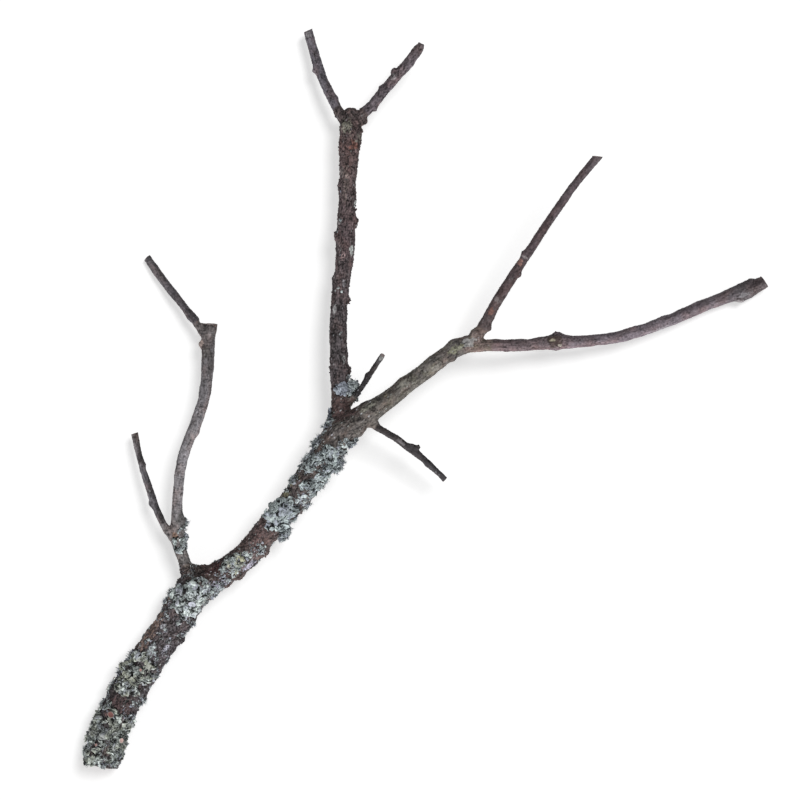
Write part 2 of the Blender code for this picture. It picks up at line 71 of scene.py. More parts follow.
# The limbs' middle lines, as in the model: x, y, height and thickness in millimetres
limbRoutes = {
    "trunk": [
        (-195.3, -221, 10.8, 22.3), (-191.1, -205.2, 11.2, 22.2), (-181.4, -181.4, 12.2, 21.9),
        (-166.7, -157.5, 13.4, 21.3), (-151.7, -135.5, 14.6, 21), (-141.6, -119.2, 15.8, 21.4),
        (-131, -110.6, 16.8, 19.2), (-118.8, -102.8, 18, 16.8), (-104.1, -90.9, 20, 16.4),
        (-90.5, -74.4, 22, 16.4), (-78.9, -61.5, 23.6, 16.7), (-68.4, -47, 25, 17.3),
        (-59.5, -33.4, 26, 18.4), (-49.3, -19.8, 27, 17.8), (-36.8, -10.4, 28.2, 14.6),
        (-23.2, -1.4, 29, 11.7), (-11.3, 8.1, 29, 10.8), (0.7, 16.8, 28.5, 10.4),
        (12, 25.7, 27.8, 10.6), (24, 32.2, 27, 10.6), (33, 33.2, 26, 8.6)],
    "leftBranch": [
        (-136.5, -116, 14.5, 13.8), (-140.5, -106, 14.5, 10.5), (-144.5, -96.5, 15, 7.4),
        (-147.8, -86.5, 15.6, 8.3), (-148.6, -77.5, 16, 8), (-148.2, -65.5, 16.6, 7.2),
        (-147.5, -53.5, 17, 6.8), (-145.5, -38.5, 17.4, 6.9), (-142, -26.5, 17.4, 7.2),
        (-137.5, -15.5, 17, 7.4), (-133.1, -3, 16.2, 7.6), (-130.9, 8.5, 15.2, 7.8),
        (-130.1, 20.5, 14.2, 8), (-129.9, 32, 13, 8.5), (-129, 40.5, 12.2, 8.1), (-127, 49.5, 12, 7)],
    "leftTip": [
        (-130, 35.5, 12.6, 7.2), (-135, 43.5, 11.4, 5.8), (-144.6, 55.4, 8.8, 5.4),
        (-156.8, 70.2, 5.2, 5.4), (-167.6, 85.1, 2.1, 5.4), (-171.2, 90.2, 1.4, 5.4)],
    "leftThin": [
        (-146.5, -89, 15.6, 5.7), (-153, -81.2, 15.4, 5), (-159.2, -69.8, 14.6, 4.9),
        (-164.2, -56.8, 13.4, 5), (-168.2, -45.2, 12.2, 4.7), (-172.4, -30.6, 10.6, 4.6),
        (-175.2, -17, 9.4, 4.7)],
    "middle": [
        (-50, -21, 23, 16.1), (-50, -9, 22.6, 13.1), (-50.5, 2, 22.2, 11.3), (-51, 17.5, 21.8, 11.2),
        (-51.5, 32.5, 21.2, 10.8), (-51.5, 50, 20.4, 10.6), (-50, 67, 19.6, 10.6), (-48, 83, 19, 11.1),
        (-47, 100, 18.4, 12.3), (-46.5, 113, 17.8, 11), (-46, 125, 17.2, 10.7), (-46, 137, 16.8, 11.2),
        (-45, 149.5, 16.4, 12.5), (-44.5, 159, 16, 13.3), (-44.5, 167.5, 15.8, 9.8),
        (-44, 174.6, 15.8, 6.2)],
    "middleLeft": [
        (-46, 162.5, 15.8, 8.1), (-50, 170, 15.2, 6.4), (-59, 187.5, 13, 6.3), (-64.5, 202, 11.2, 6.2),
        (-67.5, 212.5, 9.8, 6.1), (-71, 225, 8.4, 5.8)],
    "middleRight": [
        (-43, 162, 16, 8.4), (-39.5, 168, 16.6, 7), (-32.1, 175.2, 18, 6.7), (-22.3, 186.5, 20, 6.7),
        (-13.4, 196.6, 21.6, 6.6), (-4.8, 207.4, 23, 6.8), (-1.4, 212.4, 23.6, 5.2)],
    "rising": [
        (29, 33.5, 27, 8), (34.5, 42.8, 29, 7.3), (43.6, 59.2, 33, 7), (53.4, 74.8, 37, 6.3),
        (67, 95.5, 42, 5.8), (82.5, 118.5, 47.5, 5.4), (93.6, 133, 51, 5.3), (104.6, 145.8, 54, 5.3)],
    "long": [
        (24.5, 32, 26.4, 9.4), (33, 32, 25.4, 8.3), (45, 32, 23.6, 7.8), (62, 32.4, 21, 8),
        (72, 33.5, 19.4, 8.8), (78.5, 34.2, 18.4, 10.2), (86, 34.2, 17.4, 8.7), (96, 34.6, 16, 7.7),
        (117.5, 37.5, 13.2, 7.6), (142, 45.3, 10, 7.7), (166, 55.3, 7.2, 8), (182.5, 61.7, 5.8, 8.4),
        (194.5, 65.6, 5.1, 11.5), (201, 68.4, 5.4, 8.9), (209, 72.8, 5.8, 7.8)],
    "smallUpper": [
        (-46, -3, 23.5, 5.4), (-39.6, 4.3, 27, 4), (-32.1, 15.3, 31.5, 3.8), (-22.4, 29.6, 36.5, 3.5)],
    "smallLower": [
        (-36.5, -12, 28, 5.9), (-29.3, -16.5, 27.6, 4.8), (-17.8, -23, 26.4, 4.6),
        (-7.7, -30.4, 25, 5.1), (-2.1, -34.8, 24, 4.3), (5, -41, 22.4, 4.2), (14, -50, 20.4, 4.1)],
}

# Which limb each piece of wood follows
limbOf = {
    "trunk_lower": "trunk", "trunk_upper": "trunk", "right_branch": "trunk",
    "left_branch": "leftBranch", "left_branch_tip": "leftTip", "left_thin_twig": "leftThin",
    "middle_branch": "middle", "middle_fork_left_twig": "middleLeft",
    "middle_fork_right_twig": "middleRight", "right_rising_twig": "rising",
    "right_long_twig": "long", "small_upper_twig": "smallUpper", "small_lower_twig": "smallLower",
}
woodNames = list(limbOf)


def catmull(a, b, c, d, t):
    return 0.5 * (2 * b + (c - a) * t + (2 * a - 5 * b + 4 * c - d) * t * t
                  + (3 * b - a - 3 * c + d) * t ** 3)


def sampleLimb(points):
    # even samples: place, heading, two square directions carried along, radius, distance
    rows = [Vector(p) for p in points]
    rows = [2 * rows[0] - rows[1]] + rows + [2 * rows[-1] - rows[-2]]
    fine = [catmull(*rows[i - 1:i + 3], k / 24) for i in range(1, len(rows) - 2) for k in range(24)]
    fine.append(rows[-2])
    samples, walked, wanted, side = [], 0.0, 0.0, None
    for a, b in zip(fine, fine[1:]):
        length = (b.xyz - a.xyz).length
        heading = (b.xyz - a.xyz).normalized()
        if side is None:
            side = up.cross(heading)
        side = (side - heading * side.dot(heading)).normalized()
        while wanted <= walked + length:
            spot = a.lerp(b, (wanted - walked) / length)
            samples.append((spot.xyz * mm, heading, side, heading.cross(side), spot.w * mm / 2, wanted))
            wanted += sampleStep
        walked += length
    return samples


limbs = {name: sampleLimb(points) for name, points in limbRoutes.items()}
limbList = list(limbRoutes)
limbTrees = {}
for name, samples in limbs.items():
    tree = KDTree(len(samples))
    for i, sample in enumerate(samples):
        tree.insert(sample[0], i)
    tree.balance()
    limbTrees[name] = tree


def limbPlace(limb, distance, angle):
    # a place on the limb's middle line and the direction out of it; angle 0 is up, 90 is left
    samples = limbs[limb]
    sample = samples[min(len(samples) - 1, max(0, round(distance / sampleStep)))]
    heading = sample[1]
    left = up.cross(heading).normalized()
    turn = math.radians(angle)
    return sample[0], heading.cross(left) * math.cos(turn) + left * math.sin(turn), heading, sample[4]


def newPiece(name, mesh):
    piece = bpy.data.objects.new(name, mesh)
    bpy.context.scene.collection.objects.link(piece)
    return piece


def meshOf(name, corners, polygons):
    mesh = bpy.data.meshes.new(name)
    mesh.from_pydata([tuple(c) for c in corners], [], polygons)
    return mesh


def evaluatedMesh(piece):
    depsgraph = bpy.context.evaluated_depsgraph_get()
    return bpy.data.meshes.new_from_object(piece.evaluated_get(depsgraph), depsgraph=depsgraph)


def mergedNode(name):
    bm = bmesh.new()
    bm.from_mesh(cadNodes[name].data)
    bmesh.ops.remove_doubles(bm, verts=bm.verts, dist=woodLook["weld"] * mm)
    return bm


def remeshed(bm, voxel):
    mesh = bpy.data.meshes.new("blank")
    bm.to_mesh(mesh)
    bm.free()
    piece = newPiece("blank", mesh)
    modifier = piece.modifiers.new("Join", "REMESH")
    modifier.mode = "VOXEL"
    modifier.voxel_size = voxel
    made = evaluatedMesh(piece)
    bpy.data.objects.remove(piece, do_unlink=True)
    return made


def arraysOf(mesh):
    points = np.empty(len(mesh.vertices) * 3)
    mesh.vertices.foreach_get("co", points)
    edges = np.empty(len(mesh.edges) * 2, dtype=np.int64)
    mesh.edges.foreach_get("vertices", edges)
    faces = np.empty(len(mesh.loops), dtype=np.int64)
    mesh.loops.foreach_get("vertex_index", faces)
    return points.reshape(-1, 3), edges.reshape(-1, 2), faces.reshape(-1, 4)


def neighbourMean(values, edges, counts):
    total = np.zeros_like(values)
    for column in range(values.shape[1]):
        total[:, column] = (np.bincount(edges[:, 0], values[edges[:, 1], column], len(values))
                            + np.bincount(edges[:, 1], values[edges[:, 0], column], len(values)))
    return total / counts[:, None]


def relax(values, edges, passes, share=None, pull=0.5, push=-0.53):
    # shrinking and swelling passes in turn, which smooth a shape and keep its thickness
    counts = np.maximum(np.bincount(edges.ravel(), minlength=len(values)), 1)
    share = np.ones(len(values)) if share is None else share
    for _ in range(passes):
        for factor in (pull, push):
            if factor:
                change = neighbourMean(values, edges, counts) - values
                values = values + change * (factor * share)[:, None]
    return values


def normalsOf(points, faces):
    across = points[faces[:, 2]] - points[faces[:, 0]]
    along = points[faces[:, 3]] - points[faces[:, 1]]
    faceNormals = np.cross(across, along)
    normals = np.zeros_like(points)
    for corner in range(4):
        for axis in range(3):
            normals[:, axis] += np.bincount(faces[:, corner], faceNormals[:, axis], len(points))
    return normals / np.maximum(np.linalg.norm(normals, axis=1), 1e-12)[:, None]


def spread(low, high, value):
    share = np.clip((value - low) / (high - low), 0, 1)
    return share * share * (3 - 2 * share)


noiseDice = np.random.RandomState(4)
noiseOrder = np.tile(noiseDice.permutation(256), 2)
noiseSlopes = noiseDice.normal(size=(256, 3))
noiseSlopes /= np.linalg.norm(noiseSlopes, axis=1)[:, None]


def smoothNoise(spots, size, seed=0):
    # gentle random swells of about that size, from -1 to 1
    spots = spots / size + seed * 13.7
    cells = np.floor(spots).astype(np.int64)
    inner = spots - cells
    fade = inner ** 3 * (inner * (inner * 6 - 15) + 10)
    total = np.zeros(len(spots))
    for corner in np.ndindex(2, 2, 2):
        x, y, z = ((cells + corner) % 256).T
        slope = noiseSlopes[noiseOrder[noiseOrder[noiseOrder[x] + y] + z]]
        weight = np.prod(np.where(corner, fade, 1 - fade), axis=1)
        total += weight * ((inner - corner) * slope).sum(axis=1)
    return np.clip(total * 1.8, -1, 1)


# Wood: the limbs joined in one skin, smoothed, given their bark and parted again
woodLook = dict(voxel=0.5, weld=0.003, search=3.0, overlap=1.0, gapReach=0.6, firstSmoothing=4, smoothing=26,
                endReach=1.6, roughSwell=0.42, ledge=0.62, ledgeStep=2.6, crack=0.62, crackSize=2.7,
                fineCrack=0.34, grit=0.40, fineGrit=0.30, smoothRidge=0.16, smoothGrit=0.10, settle=0.10,
                reliefPasses=5, reliefHeight=0.22, seamPasses=8, tonePasses=6, sharp=62)
# Where a limb is pruned: flat faces of one plane, their least area, the gap round them and to the limb's tip
endLook = dict(plane=0.004, area=3.5, gap=0.6, floor=0.05, tip=7.0, ringHeight=0.06, rings=26,
               thick=0.45, wide=1.35, around=1.6, facing=0.6, inset=0.05)

# How rough the bark is along each limb: distance in millimetres and share
roughness = {
    "trunk": [(0, 0.9), (130, 1.0), (150, 0.7), (175, 0.55), (225, 0.6), (243, 0.4), (290, 0.25), (351, 0.2)],
    "leftBranch": [(0, 0.8), (25, 0.35), (45, 0.12), (170, 0.16)],
    "leftTip": [(0, 0.12), (70, 0.1)],
    "leftThin": [(0, 0.12), (77, 0.08)],
    "middle": [(0, 0.7), (30, 0.62), (100, 0.6), (150, 0.66), (175, 0.8), (192, 0.7)],
    "middleLeft": [(0, 0.3), (68, 0.15)],
    "middleRight": [(0, 0.35), (64, 0.3)],
    "rising": [(0, 0.2), (137, 0.08)],
    "long": [(0, 0.2), (45, 0.25), (56, 0.45), (66, 0.2), (170, 0.15), (183, 0.3), (200, 0.2)],
    "smallUpper": [(0, 0.2), (40, 0.12)],
    "smallLower": [(0, 0.2), (64, 0.1)],
}


# Wood that rounds the hollow between the trunk and its left branch: x, y, height and radius in millimetres
hollowWood = [(-142.6, -96.6, 15.0, 2.3), (-142.0, -98.3, 15.0, 2.4), (-140.7, -99.6, 15.2, 2.5),
              (-139.1, -100.7, 15.4, 2.6), (-137.0, -101.4, 15.8, 2.6), (-134.4, -101.8, 16.0, 2.5)]


def joinWood():
    merged = {name: mergedNode(name) for name in woodNames}
    trees = {name: BVHTree.FromBMesh(bm) for name, bm in merged.items()}
    joined = bmesh.new()
    for x, y, z, radius in hollowWood:
        bmesh.ops.create_icosphere(joined, subdivisions=2, radius=radius * mm,
                                   matrix=Matrix.Translation(Vector((x, y, z)) * mm))
    ends = []
    for name, bm in merged.items():
        others = [tree for other, tree in trees.items() if other != name]

        def nearestOther(place):
            hits = [tree.find_nearest(place, woodLook["search"] * mm) for tree in others]
            hits = [hit for hit in hits if hit[0] is not None]
            return min(hits, key=lambda hit: hit[3]) if hits else None

        ends += prunedEnds(name, bm, nearestOther)
        moved = []
        for vertex in bm.verts:
            hit = nearestOther(vertex.co)
            if hit and hit[3] < woodLook["gapReach"] * mm:
                moved.append((vertex, (hit[0] - vertex.co).normalized() * woodLook["overlap"] * mm))
        for vertex, step in moved:
            vertex.co += step
        mesh = bpy.data.meshes.new(name)
        bm.to_mesh(mesh)
        joined.from_mesh(mesh)
    labels = []
    vertices, polygons = [], []
    for number, name in enumerate(woodNames):
        bm = mergedNode(name)
        start = len(vertices)
        vertices += [v.co.copy() for v in bm.verts]
        polygons += [[start + v.index for v in f.verts] for f in bm.faces]
        labels += [number] * len(bm.faces)
        bm.free()
    return remeshed(joined, woodLook["voxel"] * mm), BVHTree.FromPolygons(vertices, polygons), labels, ends


def prunedEnds(name, bm, nearestOther):
    # flat faces of a node that face no other node and don't rest on the floor
    found, seen = [], set()
    bm.faces.ensure_lookup_table()
    for first in bm.faces:
        if first in seen:
            continue
        group, waiting = [first], [first]
        seen.add(first)
        while waiting:
            for edge in waiting.pop().edges:
                for face in edge.link_faces:
                    if face not in seen and face.normal.angle(first.normal, 1) < endLook["plane"]:
                        seen.add(face)
                        group.append(face)
                        waiting.append(face)
        area = sum(face.calc_area() for face in group)
        if len(group) < 3 or area < endLook["area"] * mm * mm:
            continue
        centre = sum((face.calc_center_median() * face.calc_area() for face in group), Vector()) / area
        hit = nearestOther(centre)
        if (hit and hit[3] < endLook["gap"] * mm) or centre.z < endLook["floor"] * mm:
            continue
        tips = [samples[-1][0] for samples in limbs.values()] + [limbs["trunk"][0][0]]
        if min((centre - tip).length for tip in tips) > endLook["tip"] * mm:
            continue
        found.append((name, centre, first.normal.copy(), math.sqrt(area / math.pi)))
    return found


def barkHeights(spots, rough):
    # spots round and along each limb in millimetres; gives heights in millimetres and how dark the cracks are
    # painted, for their dark bark and painted shade
    look = woodLook
    long, longer = np.array([1, 1, 0.42]), np.array([1, 1, 0.22])
    bent = spots + 0.9 * np.c_[smoothNoise(spots, 3.1, 5), smoothNoise(spots, 3.1, 6),
                               smoothNoise(spots, 4.0, 7)]
    wide = smoothNoise(spots * (1, 1, 0.6), 5.2, 1)
    grit = smoothNoise(bent, 1.25, 2)
    fine = smoothNoise(spots, 0.95, 3)
    cracks = np.clip(1 - np.abs(smoothNoise(bent * long, look["crackSize"], 8)) / 0.17, 0, 1)
    fineCracks = np.clip(1 - np.abs(smoothNoise(bent * long, 1.5, 9)) / 0.2, 0, 1)
    steps = smoothNoise(bent * (1, 1, 0.6), 3.3, 10) * look["ledgeStep"]
    ledges = (np.floor(steps) + spread(0.72, 1.0, steps % 1)) / look["ledgeStep"]
    coarse = (look["roughSwell"] * wide + look["ledge"] * ledges - look["crack"] * cracks ** 1.5
              - look["fineCrack"] * fineCracks + look["grit"] * grit + look["fineGrit"] * fine)
    ridge = smoothNoise(bent * longer, 1.7, 11)
    gentle = look["smoothRidge"] * ridge + look["smoothGrit"] * (grit + fine)
    # cracks, and the grooves of smooth bark, are darkened: dark bark in them and painted shade
    dark = np.maximum(cracks ** 1.5, 0.6 * fineCracks)
    weak = np.clip(-ridge - 0.25, 0, 1)
    return gentle + (coarse - gentle) * rough - look["settle"], weak + (dark - weak) * rough


skinMesh, nodeTree, nodeLabels, endFaces = joinWood()
points, edges, faces = arraysOf(skinMesh)
print("wood skin:", len(points), "points,", len(endFaces), "pruned ends")

# Pruned ends stay crisp: little smoothing near them
nearEnd = np.zeros(len(points))
for name, centre, normal, radius in endFaces:
    offset = points - np.array(centre)
    height = offset @ np.array(normal)
    away = np.linalg.norm(offset, axis=1)
    reach = woodLook["endReach"] * mm
    nearEnd = np.maximum(nearEnd, (away < radius * endLook["around"])
                         * spread(2 * reach, reach, np.abs(height)))
points = relax(points, edges, woodLook["firstSmoothing"])
points = relax(points, edges, woodLook["smoothing"], share=1 - nearEnd)
normals = normalsOf(points, faces)

# Each face belongs to the nearest piece of the model
centres = points[faces].mean(axis=1)
faceLabels = np.array([nodeLabels[nodeTree.find_nearest(Vector(c))[2]] for c in centres])
for _ in range(3):
    votes = np.zeros((len(points), len(woodNames)))
    for corner in range(4):
        np.add.at(votes, (faces[:, corner], faceLabels), 1)
    pointLabels = votes.argmax(axis=1)
    faceVotes = np.zeros((len(faces), len(woodNames)))
    for corner in range(4):
        np.add.at(faceVotes, (np.arange(len(faces)), pointLabels[faces[:, corner]]), 1)
    faceLabels = faceVotes.argmax(axis=1)
print("faces named")

# Where each point is on its limb
found = np.zeros(len(points), dtype=np.int64)
places, radii, along = np.zeros((len(points), 3)), np.zeros(len(points)), np.zeros(len(points))
turns, rough = np.zeros(len(points)), np.zeros(len(points))
limbNumber = {limb: i for i, limb in enumerate(limbRoutes)}
pointLimbs = np.array([limbNumber[limbOf[name]] for name in woodNames])[pointLabels]
for i, point in enumerate(points):
    found[i] = limbTrees[limbList[pointLimbs[i]]].find(point)[1]
for number, limb in enumerate(limbList):
    mine = np.nonzero(pointLimbs == number)[0]
    samples = limbs[limb]
    middles, headings, sides, overs = (np.array([tuple(s[k]) for s in samples])[found[mine]]
                                       for k in range(4))
    distances = np.array([s[5] for s in samples])[found[mine]]
    offset = (points[mine] - middles) / mm
    lefts = np.cross((0, 0, 1), headings)
    lefts /= np.linalg.norm(lefts, axis=1)[:, None]
    tops = np.cross(headings, lefts)
    along[mine] = distances + (offset * headings).sum(axis=1)
    places[mine] = np.c_[(offset * sides).sum(axis=1), (offset * overs).sum(axis=1), along[mine]]
    radii[mine] = np.array([s[4] for s in samples])[found[mine]]
    turns[mine] = np.arctan2((offset * lefts).sum(axis=1), (offset * tops).sum(axis=1))
    stops = np.array(roughness[limb])
    rough[mine] = np.interp(along[mine], stops[:, 0], stops[:, 1])
grain = places + (57.0 * pointLimbs)[:, None] * (1, 0.5, 0)
# the second gives how dark the cracks are painted: dark bark and painted shade
heights, crackDarkAndShade = barkHeights(grain, rough)

# The bark runs on over the seams between limbs
seam = pointLabels[edges[:, 0]] != pointLabels[edges[:, 1]]
nearSeam = np.zeros(len(points))
nearSeam[edges[seam].ravel()] = 1
counts = np.maximum(np.bincount(edges.ravel(), minlength=len(points)), 1)
for _ in range(3):
    nearSeam = np.maximum(nearSeam, neighbourMean(nearSeam[:, None], edges, counts)[:, 0] > 0)
heights = relax(heights[:, None], edges, woodLook["seamPasses"], share=nearSeam, push=0)[:, 0]

# Small crusts, stains and scars on each limb: distance, angle, half length, half width, colour, share, height
patches = {
    "trunk": [
        (88, 62, 24, 6.5, (116, 98, 90), 0.8, -0.1), (141, 42, 9, 4.5, (58, 38, 38), 0.9, -0.3),
        (128, -62, 7, 3, (132, 136, 132), 0.6, 0.25), (178, 14, 12, 6, (84, 67, 67), 0.55, 0.02),
        (158, -53, 5, 3, (158, 156, 170), 0.85, 0.3), (136, -33, 7, 4, (146, 146, 160), 0.7, 0.3),
        (84, -30, 4, 2.4, (150, 150, 160), 0.7, 0.3), (80, 10, 3, 2, (160, 160, 166), 0.6, 0.3),
        (95, 20, 3, 1.6, (150, 152, 156), 0.6, 0.3), (102, -20, 3.5, 1.6, (140, 138, 146), 0.6, 0.2),
        (36, 30, 5, 4, (94, 64, 62), 0.7, 0.0), (345, 8, 5, 3, (136, 136, 136), 0.7, 0.2),
        (337, 0, 5, 2.6, (126, 127, 106), 0.55, 0.2), (215, 62, 6, 3, (122, 122, 92), 0.6, 0.1),
        (203, 50, 5, 3, (120, 120, 92), 0.5, 0.1), (243, 30, 7, 3, (80, 68, 64), 0.6, 0.02),
        (300, 20, 6, 3, (126, 126, 118), 0.4, 0.1), (322, -30, 5, 2.4, (134, 132, 126), 0.5, 0.1),
        (275, 30, 5, 3, (122, 122, 112), 0.5, 0.1), (190, -40, 4, 2.6, (148, 156, 158), 0.7, 0.3),
        (262, 72, 9, 7, (66, 50, 49), 0.85, 0.02), (86, -80, 33, 5.5, (46, 40, 44), 0.75, 0.02),
        (41, -8, 6, 9, (62, 47, 47), 0.8, 0.02)],
    "leftBranch": [
        (36, 15, 3.2, 2.4, (142, 112, 94), 0.7, 0.1), (33, -80, 5, 2, (148, 158, 166), 0.8, 0.3),
        (48, -70, 7, 2, (76, 74, 74), 0.6, 0.1), (95, 20, 3, 2, (96, 90, 92), 0.5, 0.0),
        (150, 0, 4, 2, (90, 80, 78), 0.5, 0.0), (168, 0, 3, 9, (88, 66, 58), 0.8, 0.1),
        (154, 88, 3, 3.5, (158, 142, 136), 0.85, 0.05), (141, -30, 8, 3, (68, 65, 64), 0.65, 0.02),
        (128, -70, 6, 2, (62, 58, 60), 0.65, 0.02), (148, 20, 4, 3, (72, 68, 64), 0.6, 0.02),
        (46, -50, 6, 3, (78, 76, 74), 0.6, 0.02), (112, 30, 4, 2, (140, 137, 142), 0.4, 0.02),
        (84, -20, 5, 2, (134, 131, 136), 0.4, 0.02)],
    "leftThin": [
        (46, 40, 3, 1.6, (84, 80, 82), 0.5, 0.0), (60, 0, 3, 2.4, (46, 42, 44), 0.85, 0.02),
        (40, -60, 10, 1.6, (56, 53, 55), 0.75, 0.02), (20, -40, 8, 2, (62, 59, 61), 0.65, 0.02)],
    "middle": [
        (173, -25, 3.2, 3.0, (104, 72, 64), 0.95, -0.3), (138, -70, 3, 2, (158, 162, 160), 0.85, 0.25),
        (110, -49, 3.4, 2, (154, 158, 156), 0.8, 0.25), (107, 12, 3.4, 2.2, (140, 120, 120), 0.7, 0.1),
        (44, -40, 3, 1.6, (150, 154, 152), 0.6, 0.25), (74, 30, 3, 1.6, (140, 140, 140), 0.6, 0.2),
        (90, -20, 3, 1.4, (136, 134, 138), 0.6, 0.2), (2, 20, 9, 6, (86, 62, 58), 0.7, 0.0),
        (128, 50, 5, 1.8, (124, 122, 122), 0.5, 0.1), (156, 40, 4, 2, (126, 120, 118), 0.5, 0.1),
        (184, 20, 6, 4, (120, 120, 108), 0.6, 0.1), (178, -60, 4, 3, (116, 114, 106), 0.5, 0.1),
        (6, 0, 9, 9, (64, 51, 51), 0.7, 0.02), (58, 30, 6, 2, (62, 56, 57), 0.6, 0.02),
        (142, -50, 3, 1.6, (52, 44, 44), 0.7, 0.02), (134, 50, 6, 2, (58, 50, 50), 0.5, 0.02),
        (36, -88, 3, 2.2, (54, 42, 42), 0.9, 0.8), (80, -86, 3, 1.8, (58, 46, 44), 0.9, 0.6),
        (127, -88, 3.4, 1.8, (56, 44, 42), 0.9, 0.7), (150, 10, 14, 2.2, (112, 102, 98), 0.5, 0.15)],
    "middleLeft": [
        (62, 10, 4, 2.2, (134, 132, 134), 0.7, 0.1)],
    "middleRight": [
        (40, 20, 2.4, 2, (140, 134, 136), 0.6, 0.2)],
    "rising": [
        (22, 0, 3, 2.2, (112, 80, 72), 0.7, 0.1), (60, 0, 1.0, 3.4, (128, 122, 122), 0.6, 0.1),
        (56, 30, 2.4, 2.4, (140, 106, 98), 0.7, 0.1), (30, 0, 1.6, 4, (122, 116, 116), 0.5, 0.02)],
    "long": [
        (9, 10, 4, 3, (142, 104, 88), 0.8, 0.0), (175, -24, 4.5, 1.8, (124, 121, 124), 0.7, 0.15),
        (54, 0, 5, 5, (66, 54, 48), 0.8, -0.2), (52, 14, 1.3, 1.0, (150, 144, 124), 0.6, 0.1),
        (57, -30, 1.6, 1.0, (166, 160, 150), 0.8, 0.2), (148, 20, 5, 2, (70, 62, 64), 0.6, 0.0),
        (120, -50, 8, 1.4, (150, 146, 150), 0.5, 0.1), (96, 30, 6, 1.4, (84, 76, 78), 0.5, 0.0),
        (184, 25, 6, 3, (60, 52, 56), 0.65, 0.02), (170, -70, 4, 1.4, (146, 142, 144), 0.6, 0.15),
        (160, 0, 3, 2.4, (70, 62, 66), 0.5, 0.02), (140, 20, 9, 1.6, (74, 64, 70), 0.5, 0.02)],
    "smallUpper": [
        (38, 0, 4, 2, (140, 140, 138), 0.7, 0.1)],
    "smallLower": [
        (26, 0, 3, 1.6, (124, 120, 122), 0.5, 0.1)],
}
patchMask, patchTone = np.zeros(len(points)), np.zeros((len(points), 3))
ragged = 0.42 * smoothNoise(grain, 2.4, 21) + 0.34 * smoothNoise(grain, 1.1, 22)


def spotCover(limb, distance, angle, halfLength, halfWidth, raggedness=1.0, edge=1.0):
    # from 0 round a spot on a limb to 1 in its middle, with a ragged edge
    apart = (turns - math.radians(angle) + math.pi) % math.tau - math.pi
    away = np.hypot((along - distance) / halfLength, apart * radii / mm / halfWidth)
    return (pointLimbs == limbNumber[limb]) * spread(edge, 0.72, away + raggedness * ragged)


for limb, spots in patches.items():
    for *place, colour, share, height in spots:
        mask = spotCover(limb, *place) * share
        patchTone[mask > 0.03] = colour
        patchMask = np.maximum(patchMask, mask)
        if height <= 0:
            crackDarkAndShade = crackDarkAndShade * (1 - 0.8 * mask)
        heights += mask * (height if height > 0 else height - 0.5 * heights)

# Painted shade in the hollows and painted highlight on the ridges: each point is darker or paler by how far it
# lies below or above what lies round it
around = relax(heights[:, None], edges, woodLook["reliefPasses"], pull=0.9, push=0)[:, 0]
paintedReliefShading = np.clip((heights - around) / woodLook["reliefHeight"], -1, 1)

# Pruned faces are flat, with faint rings
cutMask = np.zeros(len(points))
cutPlace = np.zeros(len(points))
for name, centre, normal, radius in endFaces:
    normal = np.array(normal)
    offset = points - np.array(centre)
    height = offset @ normal
    away = np.linalg.norm(offset - height[:, None] * normal, axis=1)
    mask = ((np.abs(height) < endLook["thick"] * mm) & (away < radius * endLook["wide"])
            & (normals @ normal > endLook["facing"]))
    cutMask[mask] = 1
    cutPlace[mask] = away[mask] / radius
    points[mask] -= (height[mask] + endLook["inset"] * mm)[:, None] * normal
onCut = cutMask > 0
heights[onCut] = endLook["ringHeight"] * np.cos(cutPlace[onCut] * endLook["rings"])
paintedReliefShading[onCut] = 0
points += normals * heights[:, None] * mm
points[:, 2] = np.maximum(points[:, 2], 0)
print("bark raised")

# Colours along the limbs as they look on screen, 0 to 255: distance, red, green, blue
barkTones = {
    "trunk": [(0, 70, 66, 67), (40, 66, 61, 63), (75, 70, 65, 68), (100, 70, 65, 68), (128, 72, 65, 65),
              (140, 66, 53, 52), (155, 78, 69, 69), (172, 82, 70, 69), (205, 76, 68, 68),
              (235, 72, 66, 66), (258, 82, 77, 75), (285, 89, 85, 81), (320, 95, 91, 88),
              (340, 92, 87, 86), (351, 104, 91, 87)],
    "leftBranch": [(0, 86, 81, 80), (18, 92, 89, 88), (40, 106, 103, 104), (60, 119, 116, 119),
                   (100, 116, 113, 116), (135, 102, 99, 102), (150, 92, 89, 91), (169, 98, 91, 90)],
    "leftTip": [(0, 78, 74, 78), (15, 76, 72, 76), (68, 88, 84, 87)],
    "leftThin": [(0, 66, 63, 65), (20, 76, 73, 76), (50, 80, 78, 82), (77, 92, 87, 87)],
    "middle": [(0, 64, 51, 52), (14, 62, 50, 51), (26, 74, 68, 70), (60, 69, 64, 66),
               (90, 76, 68, 70), (122, 78, 67, 69), (150, 82, 71, 72), (172, 86, 72, 72),
               (190, 74, 65, 65)],
    "middleLeft": [(0, 78, 73, 77), (20, 86, 82, 88), (50, 90, 86, 93), (68, 94, 89, 94)],
    "middleRight": [(0, 78, 71, 75), (20, 84, 77, 82), (50, 86, 79, 84), (64, 88, 80, 83)],
    "rising": [(0, 80, 70, 69), (18, 74, 64, 65), (60, 72, 62, 65), (110, 78, 69, 73), (137, 84, 77, 80)],
    "long": [(0, 102, 87, 86), (20, 98, 86, 89), (50, 98, 87, 90), (62, 102, 93, 99),
             (110, 110, 102, 109), (155, 106, 98, 104), (172, 84, 79, 82), (192, 90, 82, 84)],
    "smallUpper": [(0, 36, 33, 35), (25, 40, 38, 40), (40, 74, 72, 74)],
    "smallLower": [(0, 54, 49, 49), (30, 52, 49, 51), (64, 56, 54, 57)],
}
toneScale = 0.90  # how bright a colour is in the light here, beside the same colour on screen
